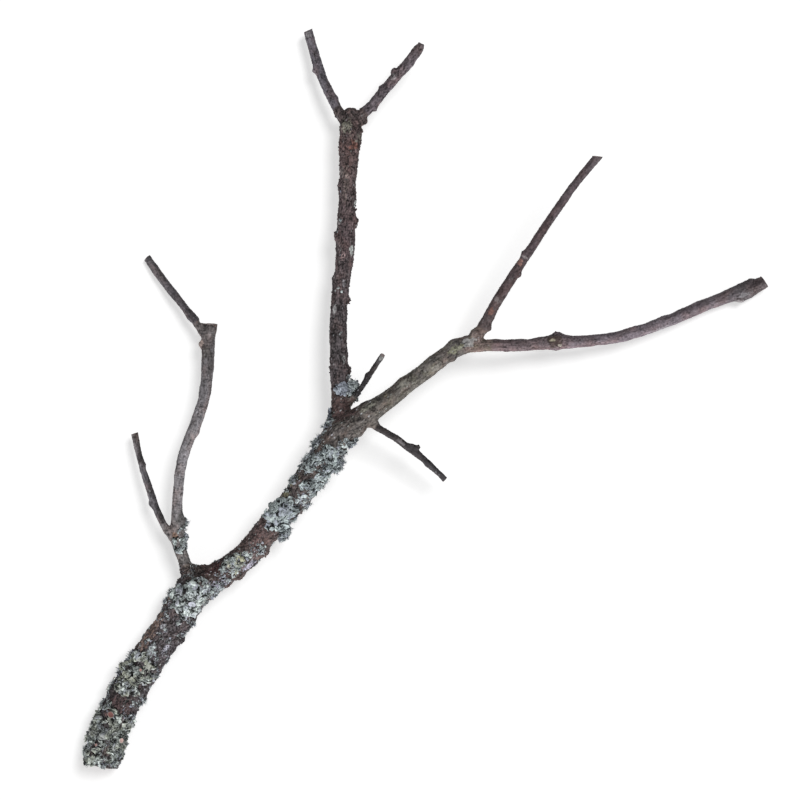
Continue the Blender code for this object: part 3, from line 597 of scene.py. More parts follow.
# Painted light: how much paler each limb is painted on its side facing the foot of the picture and on its side
# facing right
paintedSideLight = {"leftThin": (0.48, -0.42), "leftTip": (0.40, -0.20), "leftBranch": (0.34, 0.12),
            "long": (0.42, 0.0), "smallLower": (0.42, -0.1), "trunk": (0.24, 0.0), "middle": (0.2, 0.02)}


def linear(value):
    value = np.asarray(value, dtype=float) / 255
    return np.where(value <= 0.04045, value / 12.92, ((value + 0.055) / 1.055) ** 2.4)


tones = np.zeros((len(points), 3))
for number, limb in enumerate(limbList):
    stops = np.array(barkTones[limb], dtype=float)
    mine = pointLimbs == number
    for channel in range(3):
        tones[mine, channel] = linear(np.interp(along[mine], stops[:, 0], stops[:, 1 + channel]))
tones = relax(tones, edges, woodLook["tonePasses"], share=nearSeam, push=0) * toneScale
for number, limb in enumerate(limbList):
    down, right = paintedSideLight.get(limb, (0.3, 0.0))
    mine = pointLimbs == number
    # painted light: each side of a limb is made paler or darker by the way it faces
    tones[mine] *= (1 - down * normals[:, 1] + right * normals[:, 0])[mine, None]
patchTone = linear(patchTone) * toneScale


def boundaryLoops(quads):
    # directed edges of some faces that no other of them shares, chained into rings
    step = {}
    for corner in range(4):
        for pair in zip(quads[:, corner].tolist(), quads[:, (corner + 1) % 4].tolist()):
            step[pair] = True
    onward = {}
    for a, b in step:
        if (b, a) not in step:
            onward.setdefault(a, []).append(b)
    rings = []
    while onward:
        start = next(iter(onward))
        ring, here = [], start
        while here in onward:
            ring.append(here)
            there = onward[here].pop()
            if not onward[here]:
                del onward[here]
            here = there
        rings.append(ring)
    return rings


def addAttribute(mesh, name, kind, values, domain="POINT"):
    attribute = mesh.attributes.new(name, kind, domain)
    key = {"FLOAT": "value", "FLOAT_VECTOR": "vector", "FLOAT_COLOR": "color"}[kind]
    attribute.data.foreach_set(key, np.asarray(values, dtype=np.float32).ravel())


def takenOut(quads):
    # the points that some faces of the wood use, and the points' new numbers
    used = np.unique(quads)
    renumber = np.full(len(points), -1)
    renumber[used] = np.arange(len(used))
    return used, renumber


def partWood(number, name):
    # the faces of one limb, closed where it meets the others
    quads = faces[faceLabels == number]
    used, renumber = takenOut(quads)
    corners = list(points[used])
    sources = list(used)
    polygons = renumber[quads].tolist()
    rings = boundaryLoops(quads)
    for ring in rings:
        middle = len(corners)
        corners.append(points[ring].mean(axis=0))
        sources.append(ring[0])
        for a, b in zip(ring, ring[1:] + ring[:1]):
            polygons.append([int(renumber[b]), int(renumber[a]), middle])
    mesh = meshOf(name, corners, polygons)
    sources = np.array(sources)
    for label, values in (("barkTone", tones), ("patchTone", patchTone)):
        addAttribute(mesh, label, "FLOAT_COLOR", np.c_[values[sources], np.ones(len(sources))])
    addAttribute(mesh, "grain", "FLOAT_VECTOR", grain[sources])
    for label, values in (("crack", crackDarkAndShade), ("cut", cutMask), ("cutPlace", cutPlace), ("rough", rough),
                          ("paintedReliefShading", paintedReliefShading), ("patch", patchMask)):
        addAttribute(mesh, label, "FLOAT", values[sources])
    mesh.shade_smooth()
    mesh.set_sharp_from_angle(angle=math.radians(woodLook["sharp"]))
    piece = newPiece(name + "_wood", mesh)
    print(" ", name, len(mesh.vertices), "points,", len(rings), "seams")
    return piece


woodPieces = {name: partWood(number, name) for number, name in enumerate(woodNames)}
woodTree = BVHTree.FromPolygons([Vector(p) for p in points], faces.tolist())
print("wood parted into", len(woodPieces), "pieces")


# Materials
def addNode(tree, kind, inputs=None, **settings):
    node = tree.nodes.new(kind)
    for key, value in settings.items():
        setattr(node, key, value)
    for key, value in (inputs or {}).items():
        socket = node.inputs[key]
        if isinstance(value, bpy.types.NodeSocket):
            tree.links.new(value, socket)
        else:
            socket.default_value = value
    return node


def newGroup(name, takes, gives):
    # a shader node group with named inputs and outputs
    group = bpy.data.node_groups.new(name, "ShaderNodeTree")
    kinds = {"color": "NodeSocketColor", "float": "NodeSocketFloat", "vector": "NodeSocketVector"}
    for label, (kind, value) in takes.items():
        socket = group.interface.new_socket(label, in_out="INPUT", socket_type=kinds[kind])
        if value is not None:
            socket.default_value = value
    for label, kind in gives.items():
        group.interface.new_socket(label, in_out="OUTPUT", socket_type=kinds[kind])
    return group, group.nodes.new("NodeGroupInput").outputs, group.nodes.new("NodeGroupOutput").inputs


def mixColour(tree, factor, a, b, blend="MIX"):
    return addNode(tree, "ShaderNodeMix", {0: factor, 6: a, 7: b}, data_type="RGBA",
                   blend_type=blend).outputs[2]


def mapValue(tree, value, low, high, to=(0.0, 1.0)):
    node = addNode(tree, "ShaderNodeMapRange",
                   {"Value": value, "From Min": low, "From Max": high, "To Min": to[0], "To Max": to[1]})
    return node.outputs["Result"]


def calc(tree, operation, a, b):
    return addNode(tree, "ShaderNodeMath", {0: a, 1: b}, operation=operation).outputs[0]


def noiseOf(tree, vector, scale, detail=3.0, rough=0.55):
    return addNode(tree, "ShaderNodeTexNoise", {"Vector": vector, "Scale": scale, "Detail": detail,
                                                "Roughness": rough}).outputs["Fac"]


def shaderTools(tree):
    # short names for what every tree here is built from: mix, map, times, plus and noise
    return (partial(mixColour, tree), partial(mapValue, tree), partial(calc, tree, "MULTIPLY"),
            partial(calc, tree, "ADD"), partial(noiseOf, tree))


def greyOf(tree, shade):
    return addNode(tree, "ShaderNodeCombineColor", {"Red": shade, "Green": shade, "Blue": shade}).outputs[0]


def attributeOf(tree, label, output="Fac"):
    return addNode(tree, "ShaderNodeAttribute", attribute_name=label).outputs[output]


def addBump(tree, shader, height, strength, distance):
    bump = addNode(tree, "ShaderNodeBump", {"Height": height, "Strength": strength, "Distance": distance})
    tree.links.new(bump.outputs["Normal"], shader.inputs["Normal"])


def newFinish(name, specular, roughness=None):
    # a material with a plain shader
    made = bpy.data.materials.new(name)
    made.use_nodes = True
    shader = made.node_tree.nodes["Principled BSDF"]
    shader.inputs["Specular IOR Level"].default_value = specular
    if roughness is not None:
        shader.inputs["Roughness"].default_value = roughness
    return made, made.node_tree, shader


def buildBarkGroup():
    # colour, roughness and height of bark from its tone, grain coordinates, relief and small crusts, with
    # painted shade in hollows and cracks and painted highlight on ridges
    takes = {"Tone": ("color", None), "Grain": ("vector", None), "Crack": ("float", 0.0),
             "Rough": ("float", 1.0), "Relief": ("float", 0.0), "Patch": ("float", 0.0),
             "PatchTone": ("color", None), "Streak": ("float", 0.5), "Mottle": ("float", 0.5),
             "Frost": ("float", 0.3), "Algae": ("float", 0.2), "Band": ("float", 0.0)}
    group, takeIn, giveOut = newGroup("barkSurface", takes,
                                      {"Color": "color", "Roughness": "float", "Height": "float"})
    mix, mapped, times, plus, noise = shaderTools(group)

    def stretched(across, lengthwise):
        return addNode(group, "ShaderNodeMapping", {"Vector": takeIn["Grain"],
                                                    "Scale": (across, across, lengthwise)}).outputs[0]

    broad = noise(stretched(0.16, 0.09), 1.0, 3.0)
    streak = noise(stretched(1.3, 0.24), 1.0, 4.0, 0.65)
    mottle = noise(takeIn["Grain"], 0.95, 4.0, 0.72)
    cell = addNode(group, "ShaderNodeTexVoronoi", {"Vector": stretched(0.75, 0.42), "Scale": 1.0,
                                                   "Randomness": 1.0}, feature="F1")
    chance = addNode(group, "ShaderNodeSeparateColor", {"Color": cell.outputs["Color"]}).outputs
    band = noise(stretched(0.22, 1.5), 1.0, 3.0, 0.6)
    clumps = noise(stretched(0.34, 0.24), 1.0, 2.0)
    shade = None
    for source, low, high, reach, share in (
            (mottle, 0.30, 0.70, 1.0, "Mottle"), (streak, 0.30, 0.70, 1.0, "Streak"),
            (chance["Red"], 0.0, 1.0, 0.75, "Mottle"), (band, 0.34, 0.66, 1.0, "Band"),
            (clumps, 0.34, 0.66, 0.85, "Mottle")):
        part = times(mapped(source, low, high, (-reach, reach)), takeIn[share])
        shade = part if shade is None else plus(shade, part)
    # painted shade in the hollows and painted highlight on the ridges
    shade = plus(1.0, plus(shade, times(takeIn["Relief"], 0.62)))
    grey = greyOf(group, calc(group, "MAXIMUM", shade, 0.14))
    warm = mix(1.0, takeIn["Tone"], (1.12, 0.955, 0.89, 1), "MULTIPLY")
    base = mix(times(mapped(broad, 0.46, 0.66), 0.8), takeIn["Tone"], warm)
    algae = mapped(noise(stretched(0.3, 0.2), 1.0, 5.0), 0.48, 0.72)
    base = mix(times(algae, takeIn["Algae"]), base, (0.125, 0.13, 0.078, 1))
    base = mix(takeIn["Patch"], base, takeIn["PatchTone"])
    toned = mix(1.0, base, grey, "MULTIPLY")
    frost = times(mapped(noise(stretched(0.85, 0.62), 1.0, 6.0, 0.74), 0.59, 0.65), takeIn["Frost"])
    speck = times(mapped(cell.outputs["Distance"], 0.34, 0.22), mapped(chance["Green"], 0.80, 0.86))
    speck = times(speck, calc(group, "MINIMUM", times(takeIn["Frost"], 2.2), 0.9))
    frost = calc(group, "MAXIMUM", frost, speck)
    toned = mix(frost, toned, mix(chance["Blue"], (0.31, 0.33, 0.31, 1), (0.35, 0.34, 0.39, 1)))
    # cracks are darkened nearly to black: their dark bark and painted shade
    dark = times(mapped(takeIn["Crack"], 0.10, 0.85), mapped(takeIn["Rough"], 0.0, 1.0, (0.4, 0.85)))
    height = plus(plus(times(streak, 0.5), times(mottle, 0.8)), times(frost, 0.4))
    for label, value in (("Color", mix(dark, toned, (0.016, 0.012, 0.012, 1))),
                         ("Roughness", mapped(mottle, 0.3, 0.7, (0.78, 0.96))), ("Height", height)):
        group.links.new(value, giveOut[label])
    return group


def buildCutGroup():
    # pale sawn wood: rings round the pith, a dark rim of bark and a few cracks
    group, takeIn, giveOut = newGroup("cutWood", {"Place": ("float", 0.0), "Rings": ("float", 9.0),
                                                  "Wood": ("color", (0.25, 0.205, 0.205, 1))},
                                      {"Color": "color", "Height": "float"})
    mix, mapped, times, plus, noise = shaderTools(group)
    place = addNode(group, "ShaderNodeTexCoord").outputs["Object"]
    wobble = noise(place, 700.0, 3.0)
    spot = plus(takeIn["Place"], times(wobble, 0.14))
    ring = calc(group, "SINE", times(spot, times(takeIn["Rings"], 6.283)), 0.0)
    dust = noise(place, 1900.0, 3.0)
    tone = takeIn["Wood"]
    for source, low, high, share, colour in (
            (ring, -1.0, 1.0, 0.75, (0.10, 0.074, 0.068)),
            (wobble, 0.50, 0.62, 0.55, (0.11, 0.088, 0.078)),
            (takeIn["Place"], 0.10, 0.0, 1.0, (0.04, 0.03, 0.028)),
            (dust, 0.45, 0.75, 0.5, (0.30, 0.27, 0.255)),
            (takeIn["Place"], 0.86, 0.98, 1.0, (0.045, 0.034, 0.030))):
        tone = mix(mapped(source, low, high, (0.0, share)), tone, (*colour, 1))
    group.links.new(tone, giveOut["Color"])
    group.links.new(plus(times(ring, 0.2), dust), giveOut["Height"])
    return group


barkGroup = buildBarkGroup()
cutGroup = buildCutGroup()

# How each piece of wood is finished
barkFinish = {
    "trunk_lower": dict(streak=0.34, mottle=0.56, frost=0.50, algae=0.10, bump=0.75),
    "trunk_upper": dict(streak=0.34, mottle=0.56, frost=0.42, algae=0.12, bump=0.75),
    "right_branch": dict(streak=0.36, mottle=0.40, frost=0.16, algae=0.35, bump=0.65),
    "left_branch": dict(streak=0.20, mottle=0.34, frost=0.12, algae=0.04, band=0.38, bump=0.50),
    "left_branch_tip": dict(streak=0.34, mottle=0.40, frost=0.14, algae=0.02, bump=0.45),
    "left_thin_twig": dict(streak=0.36, mottle=0.44, frost=0.20, algae=0.02, band=0.16, bump=0.45),
    "middle_branch": dict(streak=0.52, mottle=0.60, frost=0.24, algae=0.03, bump=0.80),
    "middle_fork_left_twig": dict(streak=0.36, mottle=0.42, frost=0.14, algae=0.02, band=0.16, bump=0.55),
    "middle_fork_right_twig": dict(streak=0.42, mottle=0.50, frost=0.16, algae=0.03, bump=0.60),
    "right_rising_twig": dict(streak=0.24, mottle=0.26, frost=0.06, algae=0.02, band=0.08, bump=0.35),
    "right_long_twig": dict(streak=0.26, mottle=0.24, frost=0.10, algae=0.03, band=0.10, bump=0.40),
    "small_upper_twig": dict(streak=0.30, mottle=0.36, frost=0.30, algae=0.03, bump=0.35),
    "small_lower_twig": dict(streak=0.28, mottle=0.30, frost=0.12, algae=0.02, bump=0.35),
}


def barkMaterial(name, finish):
    made, tree, shader = newFinish(name + "_bark", specular=0.25)
    bark = addNode(tree, "ShaderNodeGroup", node_tree=barkGroup)
    for label, key, output in (("Tone", "barkTone", "Color"), ("Grain", "grain", "Vector"),
                               ("Crack", "crack", "Fac"), ("Rough", "rough", "Fac"),
                               ("Relief", "paintedReliefShading", "Fac"), ("Patch", "patch", "Fac"),
                               ("PatchTone", "patchTone", "Color")):
        tree.links.new(attributeOf(tree, key, output), bark.inputs[label])
    for label, value in finish.items():
        if label != "bump":
            bark.inputs[label.capitalize()].default_value = value
    cut = addNode(tree, "ShaderNodeGroup", node_tree=cutGroup)
    tree.links.new(attributeOf(tree, "cutPlace"), cut.inputs["Place"])
    mask = mapValue(tree, attributeOf(tree, "cut"), 0.35, 0.65)
    tree.links.new(mixColour(tree, mask, bark.outputs["Color"], cut.outputs["Color"]),
                   shader.inputs["Base Color"])
    tree.links.new(bark.outputs["Roughness"], shader.inputs["Roughness"])
    addBump(tree, shader, bark.outputs["Height"], finish["bump"], 0.0004)
    return made


for name, piece in woodPieces.items():
    piece.data.materials.append(barkMaterial(name, barkFinish[name]))
    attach(piece, "root")
    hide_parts(name)
print("bark finished")

# Shapes that are strewn: lobed leaves, crumbs, sprigs of threads and flakes of bark
leafLook = dict(leaves=6, spokes=12, crumbs=4, crumbSpokes=7, thickness=0.15, sprigs=3, flakes=4)


def leafMesh(seed, spokes, rows, cup, wave):
    # a lobed leaf of radius 1 mm; "rim" runs from 0 in the middle to 1 at the edge
    random.seed(seed)
    lobes, phase = random.choice((2, 3, 3, 4)), random.uniform(0, math.tau)
    corners, rims = [(0.0, 0.0, 0.0)], [0.0]
    for share in rows:
        for k in range(spokes):
            turn = math.tau * k / spokes
            reach = 1 + 0.26 * math.sin(lobes * turn + phase) + random.uniform(-0.17, 0.17)
            x, y = math.cos(turn) * reach * share, math.sin(turn) * reach * share
            z = cup * (reach * share) ** 2 + wave * share * math.sin(3 * turn + 2 * phase)
            corners.append((x, y, z))
            rims.append(share)
    edge, under = len(corners) - spokes, len(corners)
    corners += [(x * 0.92, y * 0.92, z - leafLook["thickness"]) for x, y, z in corners[edge:]]
    corners.append((0.0, 0.0, -0.55))
    rims += [0.5] * spokes + [0.0]
    polygons = []
    for k in range(spokes):
        a, b = k, (k + 1) % spokes
        polygons.append((0, 1 + a, 1 + b))
        for row in range(len(rows) - 1):
            start = 1 + row * spokes
            polygons.append((start + a, start + spokes + a, start + spokes + b, start + b))
        polygons.append((edge + a, under + a, under + b, edge + b))
        polygons.append((under + spokes, under + b, under + a))
    return shapeOf("leaf", corners, polygons, rims)


def shapeOf(name, corners, polygons, rims):
    mesh = meshOf(name, [Vector(c) * mm for c in corners], polygons)
    addAttribute(mesh, "rim", "FLOAT", rims)
    mesh.shade_smooth()
    return mesh


def sprigMesh(seed):
    # thin three-sided threads that fork once, about 1 mm tall
    random.seed(seed)
    corners, polygons, rims = [], [], []

    def astray(amount):
        return Vector([random.uniform(-amount, amount) for k in range(3)])

    def thread(spot, heading, length, radius, level):
        side = heading.orthogonal().normalized()
        rings = []
        for k in range(3):
            other = heading.cross(side)
            rings.append(len(corners))
            for turn in (0, math.tau / 3, 2 * math.tau / 3):
                out = side * math.cos(turn) + other * math.sin(turn)
                corners.append(spot + out * radius * (1 - 0.3 * k))
                rims.append(0.3 + 0.2 * (level * 2 + k) / 2)
            if k < 2:
                heading = (heading + astray(0.3)).normalized()
                spot = spot + heading * length / 2
        for first in rings[:-1]:
            for c in range(3):
                a, b = first + c, first + (c + 1) % 3
                polygons.append((a, b, b + 3, a + 3))
        polygons.append((rings[0] + 2, rings[0] + 1, rings[0]))
        polygons.append((rings[-1], rings[-1] + 1, rings[-1] + 2))
        if level < 1:
            for k in range(2):
                thread(spot - heading * 0.05, (heading + astray(0.8)).normalized(), length * 0.85,
                       radius * 0.75, level + 1)

    for k in range(2):
        thread(Vector((0, 0, -0.2)), (up + astray(0.6)).normalized(), 0.65, 0.075, 0)
    return shapeOf("sprig", corners, polygons, rims)


def flakeMesh(seed):
    # a thin ragged scale of bark, longer than wide
    random.seed(seed)
    count = 7
    outline = []
    for k in range(count):
        turn = math.tau * (k + random.uniform(-0.25, 0.25)) / count
        outline.append((math.cos(turn) * random.uniform(0.8, 1.3),
                        math.sin(turn) * random.uniform(0.4, 0.75)))
    corners = [(x, y, 0.16 * x + random.uniform(-0.06, 0.10)) for x, y in outline]
    corners += [(x * 0.9, y * 0.9, z - 0.22) for x, y, z in corners]
    polygons = [tuple(range(count)), tuple(reversed(range(count, 2 * count)))]
    polygons += [(k, count + k, count + (k + 1) % count, (k + 1) % count) for k in range(count)]
    return shapeOf("flake", corners, polygons, [0.6] * count + [0.2] * count)


def shapeCollection(name, meshes):
    collection = bpy.data.collections.new(name)
    for number, mesh in enumerate(meshes):
        collection.objects.link(bpy.data.objects.new(f"{name}_{number:02d}", mesh))
    return collection


shapes = {
    "leaves": [leafMesh(40 + i, leafLook["spokes"], (0.6, 1.0), 0.04 + 0.045 * i, 0.09)
               for i in range(leafLook["leaves"])],
    "crumbs": [leafMesh(60 + i, leafLook["crumbSpokes"], (1.0,), 0.35, 0.15)
               for i in range(leafLook["crumbs"])],
    "sprigs": [sprigMesh(80 + i) for i in range(leafLook["sprigs"])],
    "flakes": [flakeMesh(90 + i) for i in range(leafLook["flakes"])],
}
shapes = {name: shapeCollection(name, meshes) for name, meshes in shapes.items()}


def buildStrewTree():
    # strews shapes over a surface where its "open" attribute is high
    tree = bpy.data.node_groups.new("strewShapes", "GeometryNodeTree")
    for label, kind in (("Geometry", "Geometry"), ("Shapes", "Collection"), ("Kinds", "Int"),
                        ("Spacing", "Float"), ("Smallest", "Float"), ("Largest", "Float"), ("Tilt", "Float"),
                        ("Seed", "Int"), ("Finish", "Material")):
        tree.interface.new_socket(label, in_out="INPUT", socket_type="NodeSocket" + kind)
    tree.interface.new_socket("Geometry", in_out="OUTPUT", socket_type="NodeSocketGeometry")
    take = tree.nodes.new("NodeGroupInput").outputs
    give = tree.nodes.new("NodeGroupOutput").inputs

    def chance(kind, seed, inputs):
        return addNode(tree, "FunctionNodeRandomValue", {"Seed": seed, **inputs}, data_type=kind)

    opened = addNode(tree, "GeometryNodeInputNamedAttribute", {"Name": "open"}, data_type="FLOAT")
    strew = addNode(tree, "GeometryNodeDistributePointsOnFaces",
                    {"Mesh": take["Geometry"], "Distance Min": calc(tree, "MULTIPLY", take["Spacing"], mm),
                     "Density Max": 4.0e6, "Density Factor": opened.outputs["Attribute"],
                     "Seed": take["Seed"]},
                    distribute_method="POISSON")
    tilt = addNode(tree, "ShaderNodeCombineXYZ", {"X": take["Tilt"], "Y": take["Tilt"], "Z": math.pi})
    back = addNode(tree, "ShaderNodeVectorMath", {0: tilt.outputs[0], 1: (-1, -1, -1)}, operation="MULTIPLY")
    lean = chance("FLOAT_VECTOR", take["Seed"], {"Min": back.outputs[0], "Max": tilt.outputs[0]})
    turn = addNode(tree, "FunctionNodeEulerToRotation", {"Euler": lean.outputs[0]})
    spin = addNode(tree, "FunctionNodeRotateRotation", {"Rotation": strew.outputs["Rotation"],
                                                        "Rotate By": turn.outputs[0]}, rotation_space="LOCAL")
    size = chance("FLOAT", 5, {2: take["Smallest"], 3: take["Largest"]})
    pick = chance("INT", 9, {5: take["Kinds"]})
    kinds = addNode(tree, "GeometryNodeCollectionInfo", {"Collection": take["Shapes"],
                                                         "Separate Children": True, "Reset Children": True})
    made = addNode(tree, "GeometryNodeInstanceOnPoints",
                   {"Points": strew.outputs["Points"], "Instance": kinds.outputs[0], "Pick Instance": True,
                    "Instance Index": pick.outputs[2], "Rotation": spin.outputs[0], "Scale": size.outputs[1]})
    for label, seed in (("tint", 3), ("hue", 8)):
        made = addNode(tree, "GeometryNodeStoreNamedAttribute",
                       {"Geometry": made.outputs[0], "Name": label,
                        "Value": chance("FLOAT", seed, {}).outputs[1]}, data_type="FLOAT", domain="INSTANCE")
    real = addNode(tree, "GeometryNodeRealizeInstances", {"Geometry": made.outputs[0]})
    paint = addNode(tree, "GeometryNodeSetMaterial",
                    {"Geometry": real.outputs[0], "Material": take["Finish"]})
    tree.links.new(paint.outputs[0], give[0])
    return tree


strewTree = buildStrewTree()


def strewOver(piece, kind, sizes, seed, finish):
    # the strewn shapes as a plain mesh; sizes are the smallest, the largest, the closeness and the tilt
    modifier = piece.modifiers.new("Strew", "NODES")
    modifier.node_group = strewTree
    labels = {item.name: item.identifier for item in strewTree.interface.items_tree
              if item.item_type == "SOCKET" and item.in_out == "INPUT"}
    smallest, largest, spacing, tilt = sizes
    for label, value in (("Shapes", shapes[kind]), ("Kinds", leafLook[kind] - 1), ("Spacing", spacing),
                         ("Smallest", smallest), ("Largest", largest), ("Tilt", tilt), ("Seed", seed),
                         ("Finish", finish)):
        modifier[labels[label]] = value
    mesh = evaluatedMesh(piece)
    piece.modifiers.clear()
    return mesh


def buildLichenGroup():
    # colour of a lobe from its shade, its rim and slow drifts across the patch
    takes = {label: ("color", None) for label in ("Pale", "Mid", "Dark", "Yellow", "Lilac")}
    takes.update({"Tint": ("float", 0.5), "Hue": ("float", 0.5), "Rim": ("float", 0.5),
                  "YellowShare": ("float", 0.2)})
    group, takeIn, giveOut = newGroup("lichenSurface", takes, {"Color": "color", "Height": "float"})
    mix, mapped, times, plus, noise = shaderTools(group)
    place = addNode(group, "ShaderNodeTexCoord").outputs["Object"]
    drift = noise(place, 130.0, 2.0)
    mottle = noise(place, 1000.0, 4.0, 0.7)
    powder = noise(place, 3000.0, 2.0, 0.6)
    clumps = noise(place, 330.0, 2.0, 0.6)
    shade = plus(times(takeIn["Tint"], 0.62), times(mottle, 0.55))
    shade = plus(shade, times(takeIn["Rim"], 0.46))
    shade = plus(shade, mapped(clumps, 0.32, 0.68, (-0.42, 0.40)))
    low = mix(mapped(shade, 0.36, 0.82), takeIn["Dark"], takeIn["Mid"])
    tone = mix(mapped(shade, 0.86, 1.42), low, takeIn["Pale"])
    lilac = times(mapped(takeIn["Hue"], 0.62, 0.86), mapped(shade, 0.5, 0.9))
    tone = mix(times(lilac, 0.75), tone, takeIn["Lilac"])
    yellow = times(mapped(drift, 0.44, 0.58), takeIn["YellowShare"])
    tone = mix(times(yellow, mapped(shade, 0.5, 0.9)), tone, takeIn["Yellow"])
    tone = mix(mapped(powder, 0.30, 0.45, (0.45, 0.0)), tone, takeIn["Dark"])
    group.links.new(tone, giveOut["Color"])
    group.links.new(plus(mottle, powder), giveOut["Height"])
    return group


lichenGroup = buildLichenGroup()

# Each lichen: its colours on screen, how yellow it is, how much is bare, and its leaves, crumbs and sprigs
# (smallest and largest radius, closeness and tilt)
kindTones = ("pale", "mid", "dark", "yellow", "lilac")
lichenKinds = {
    "pale": ((228, 238, 236), (157, 166, 165), (28, 27, 27), (172, 168, 134), (176, 176, 192)),
    "blue": ((212, 222, 222), (138, 145, 148), (26, 26, 28), (150, 150, 124), (150, 151, 168)),
    "teal": ((210, 222, 222), (147, 156, 158), (28, 29, 31), (150, 154, 130), (154, 158, 174)),
    "green": ((216, 224, 220), (130, 136, 133), (22, 21, 21), (148, 145, 108), (148, 151, 162)),
    "bright": ((178, 186, 196), (130, 136, 145), (44, 45, 50), (146, 148, 128), (150, 153, 168)),
}
smallLeaves, crumbs = (0.8, 1.8, 1.35, 0.5), (0.35, 0.95, 1.0, 0.9)
lichenLook = {
    "lichen_butt": dict(kind="green", yellow=0.26, bare=-0.45, leaves=(0.8, 2.4, 1.5, 0.6),
                        crumbs=(0.4, 1.1, 0.85, 1.1), sprigs=(1.4, 3.0, 3.0, 0.7)),
    "lichen_lower": dict(kind="green", yellow=0.38, bare=-0.42, leaves=(0.7, 2.2, 1.35, 0.5), crumbs=crumbs,
                         sprigs=(1.0, 2.0, 4.0, 0.7)),
    "lichen_fork": dict(kind="pale", yellow=0.08, bare=-0.55, leaves=(0.7, 2.2, 1.35, 0.45), crumbs=crumbs,
                        sprigs=(1.0, 1.8, 5.0, 0.7)),
    "lichen_saddle": dict(kind="pale", yellow=0.75, bare=-0.50, leaves=(0.6, 1.8, 1.3, 0.3), crumbs=crumbs),
    "lichen_mid": dict(kind="teal", yellow=0.08, bare=-0.6, leaves=(1.2, 3.0, 1.55, 0.16)),
    "lichen_mid_tuft": dict(kind="blue", yellow=0.05, bare=-0.8, thin=1.15, leaves=smallLeaves, crumbs=crumbs,
                            sprigs=(1.6, 3.0, 1.5, 0.6)),
    "lichen_edge": dict(kind="blue", yellow=0.15, bare=-0.4, leaves=smallLeaves, crumbs=crumbs),
    "lichen_upper": dict(kind="teal", yellow=0.10, bare=-0.27, leaves=(0.8, 2.1, 1.35, 0.45), crumbs=crumbs),
    "lichen_beard": dict(kind="blue", yellow=0.05, bare=-0.8, thin=1.2, leaves=(0.6, 1.3, 1.5, 0.7),
                         crumbs=crumbs, sprigs=(1.8, 3.4, 1.2, 0.6)),
    "lichen_collar": dict(kind="blue", yellow=0.10, bare=-0.6, thin=0.6, leaves=smallLeaves, crumbs=crumbs,
                          sprigs=(1.2, 2.2, 2.2, 0.7)),
    "lichen_bump": dict(kind="bright", yellow=0.05, bare=-0.6, thin=0.7, leaves=(0.7, 1.5, 1.15, 0.4),
                        crumbs=crumbs),
    "lichen_left_branch": dict(kind="pale", yellow=0.0, bare=-0.8, thin=0.9, leaves=(0.7, 1.7, 1.2, 0.6),
                               crumbs=crumbs, sprigs=(1.0, 1.8, 2.5, 0.7)),
    "lichen_rosette": dict(kind="bright", yellow=0.0, bare=-0.9, thin=0.7, laid=True),
    "lichen_cluster": dict(kind="blue", yellow=0.10, bare=-0.8, thin=1.7, shift=(1.8, -3.0, 0),
                           leaves=(1.1, 2.3, 1.25, 0.8), crumbs=crumbs, sprigs=(1.4, 2.6, 1.6, 0.7)),
}
crustLook = dict(voxel=0.65, thin=0.42, thickest=2.5, sink=0.45, sinkReach=0.6, lump=0.3,
                 openFrom=0.3, openTo=0.8, smoothing=8, edgeSmoothing=2, patchSizes=(5.5, 2.6),
                 lumpSizes=(2.2, 1.2))

# Small fruit discs: lichen, limb, distance, angle, height off the wood, radius, how red
discs = [("lichen_butt", "trunk", 21, -45, 1.6, 1.6, 0.0), ("lichen_butt", "trunk", 34, 11, 1.4, 2.0, 1.0),
         ("lichen_butt", "trunk", 45, 84, 0.8, 1.7, 0.25), ("lichen_lower", "trunk", 52, 70, 0.9, 1.0, 0.4),
         ("lichen_butt", "trunk", 14, 20, 1.6, 0.9, 0.6), ("lichen_lower", "trunk", 66, 0, 1.5, 0.9, 0.5)]


def lichenMaterial(name, look):
    made, tree, shader = newFinish(name + "_skin", specular=0.18, roughness=0.92)
    group = addNode(tree, "ShaderNodeGroup", node_tree=lichenGroup)
    for label, tone in zip(kindTones, lichenKinds[look["kind"]]):
        group.inputs[label.capitalize()].default_value = (*(linear(tone) * toneScale), 1)
    group.inputs["YellowShare"].default_value = look["yellow"]
    for label in ("tint", "hue", "rim"):
        tree.links.new(attributeOf(tree, label), group.inputs[label.capitalize()])
    flesh = mixColour(tree, attributeOf(tree, "red"), (0.36, 0.245, 0.225, 1), (0.135, 0.060, 0.055, 1))
    tree.links.new(mixColour(tree, attributeOf(tree, "disc"), group.outputs["Color"], flesh),
                   shader.inputs["Base Color"])
    addBump(tree, shader, group.outputs["Height"], 0.5, 0.00025)
    return made


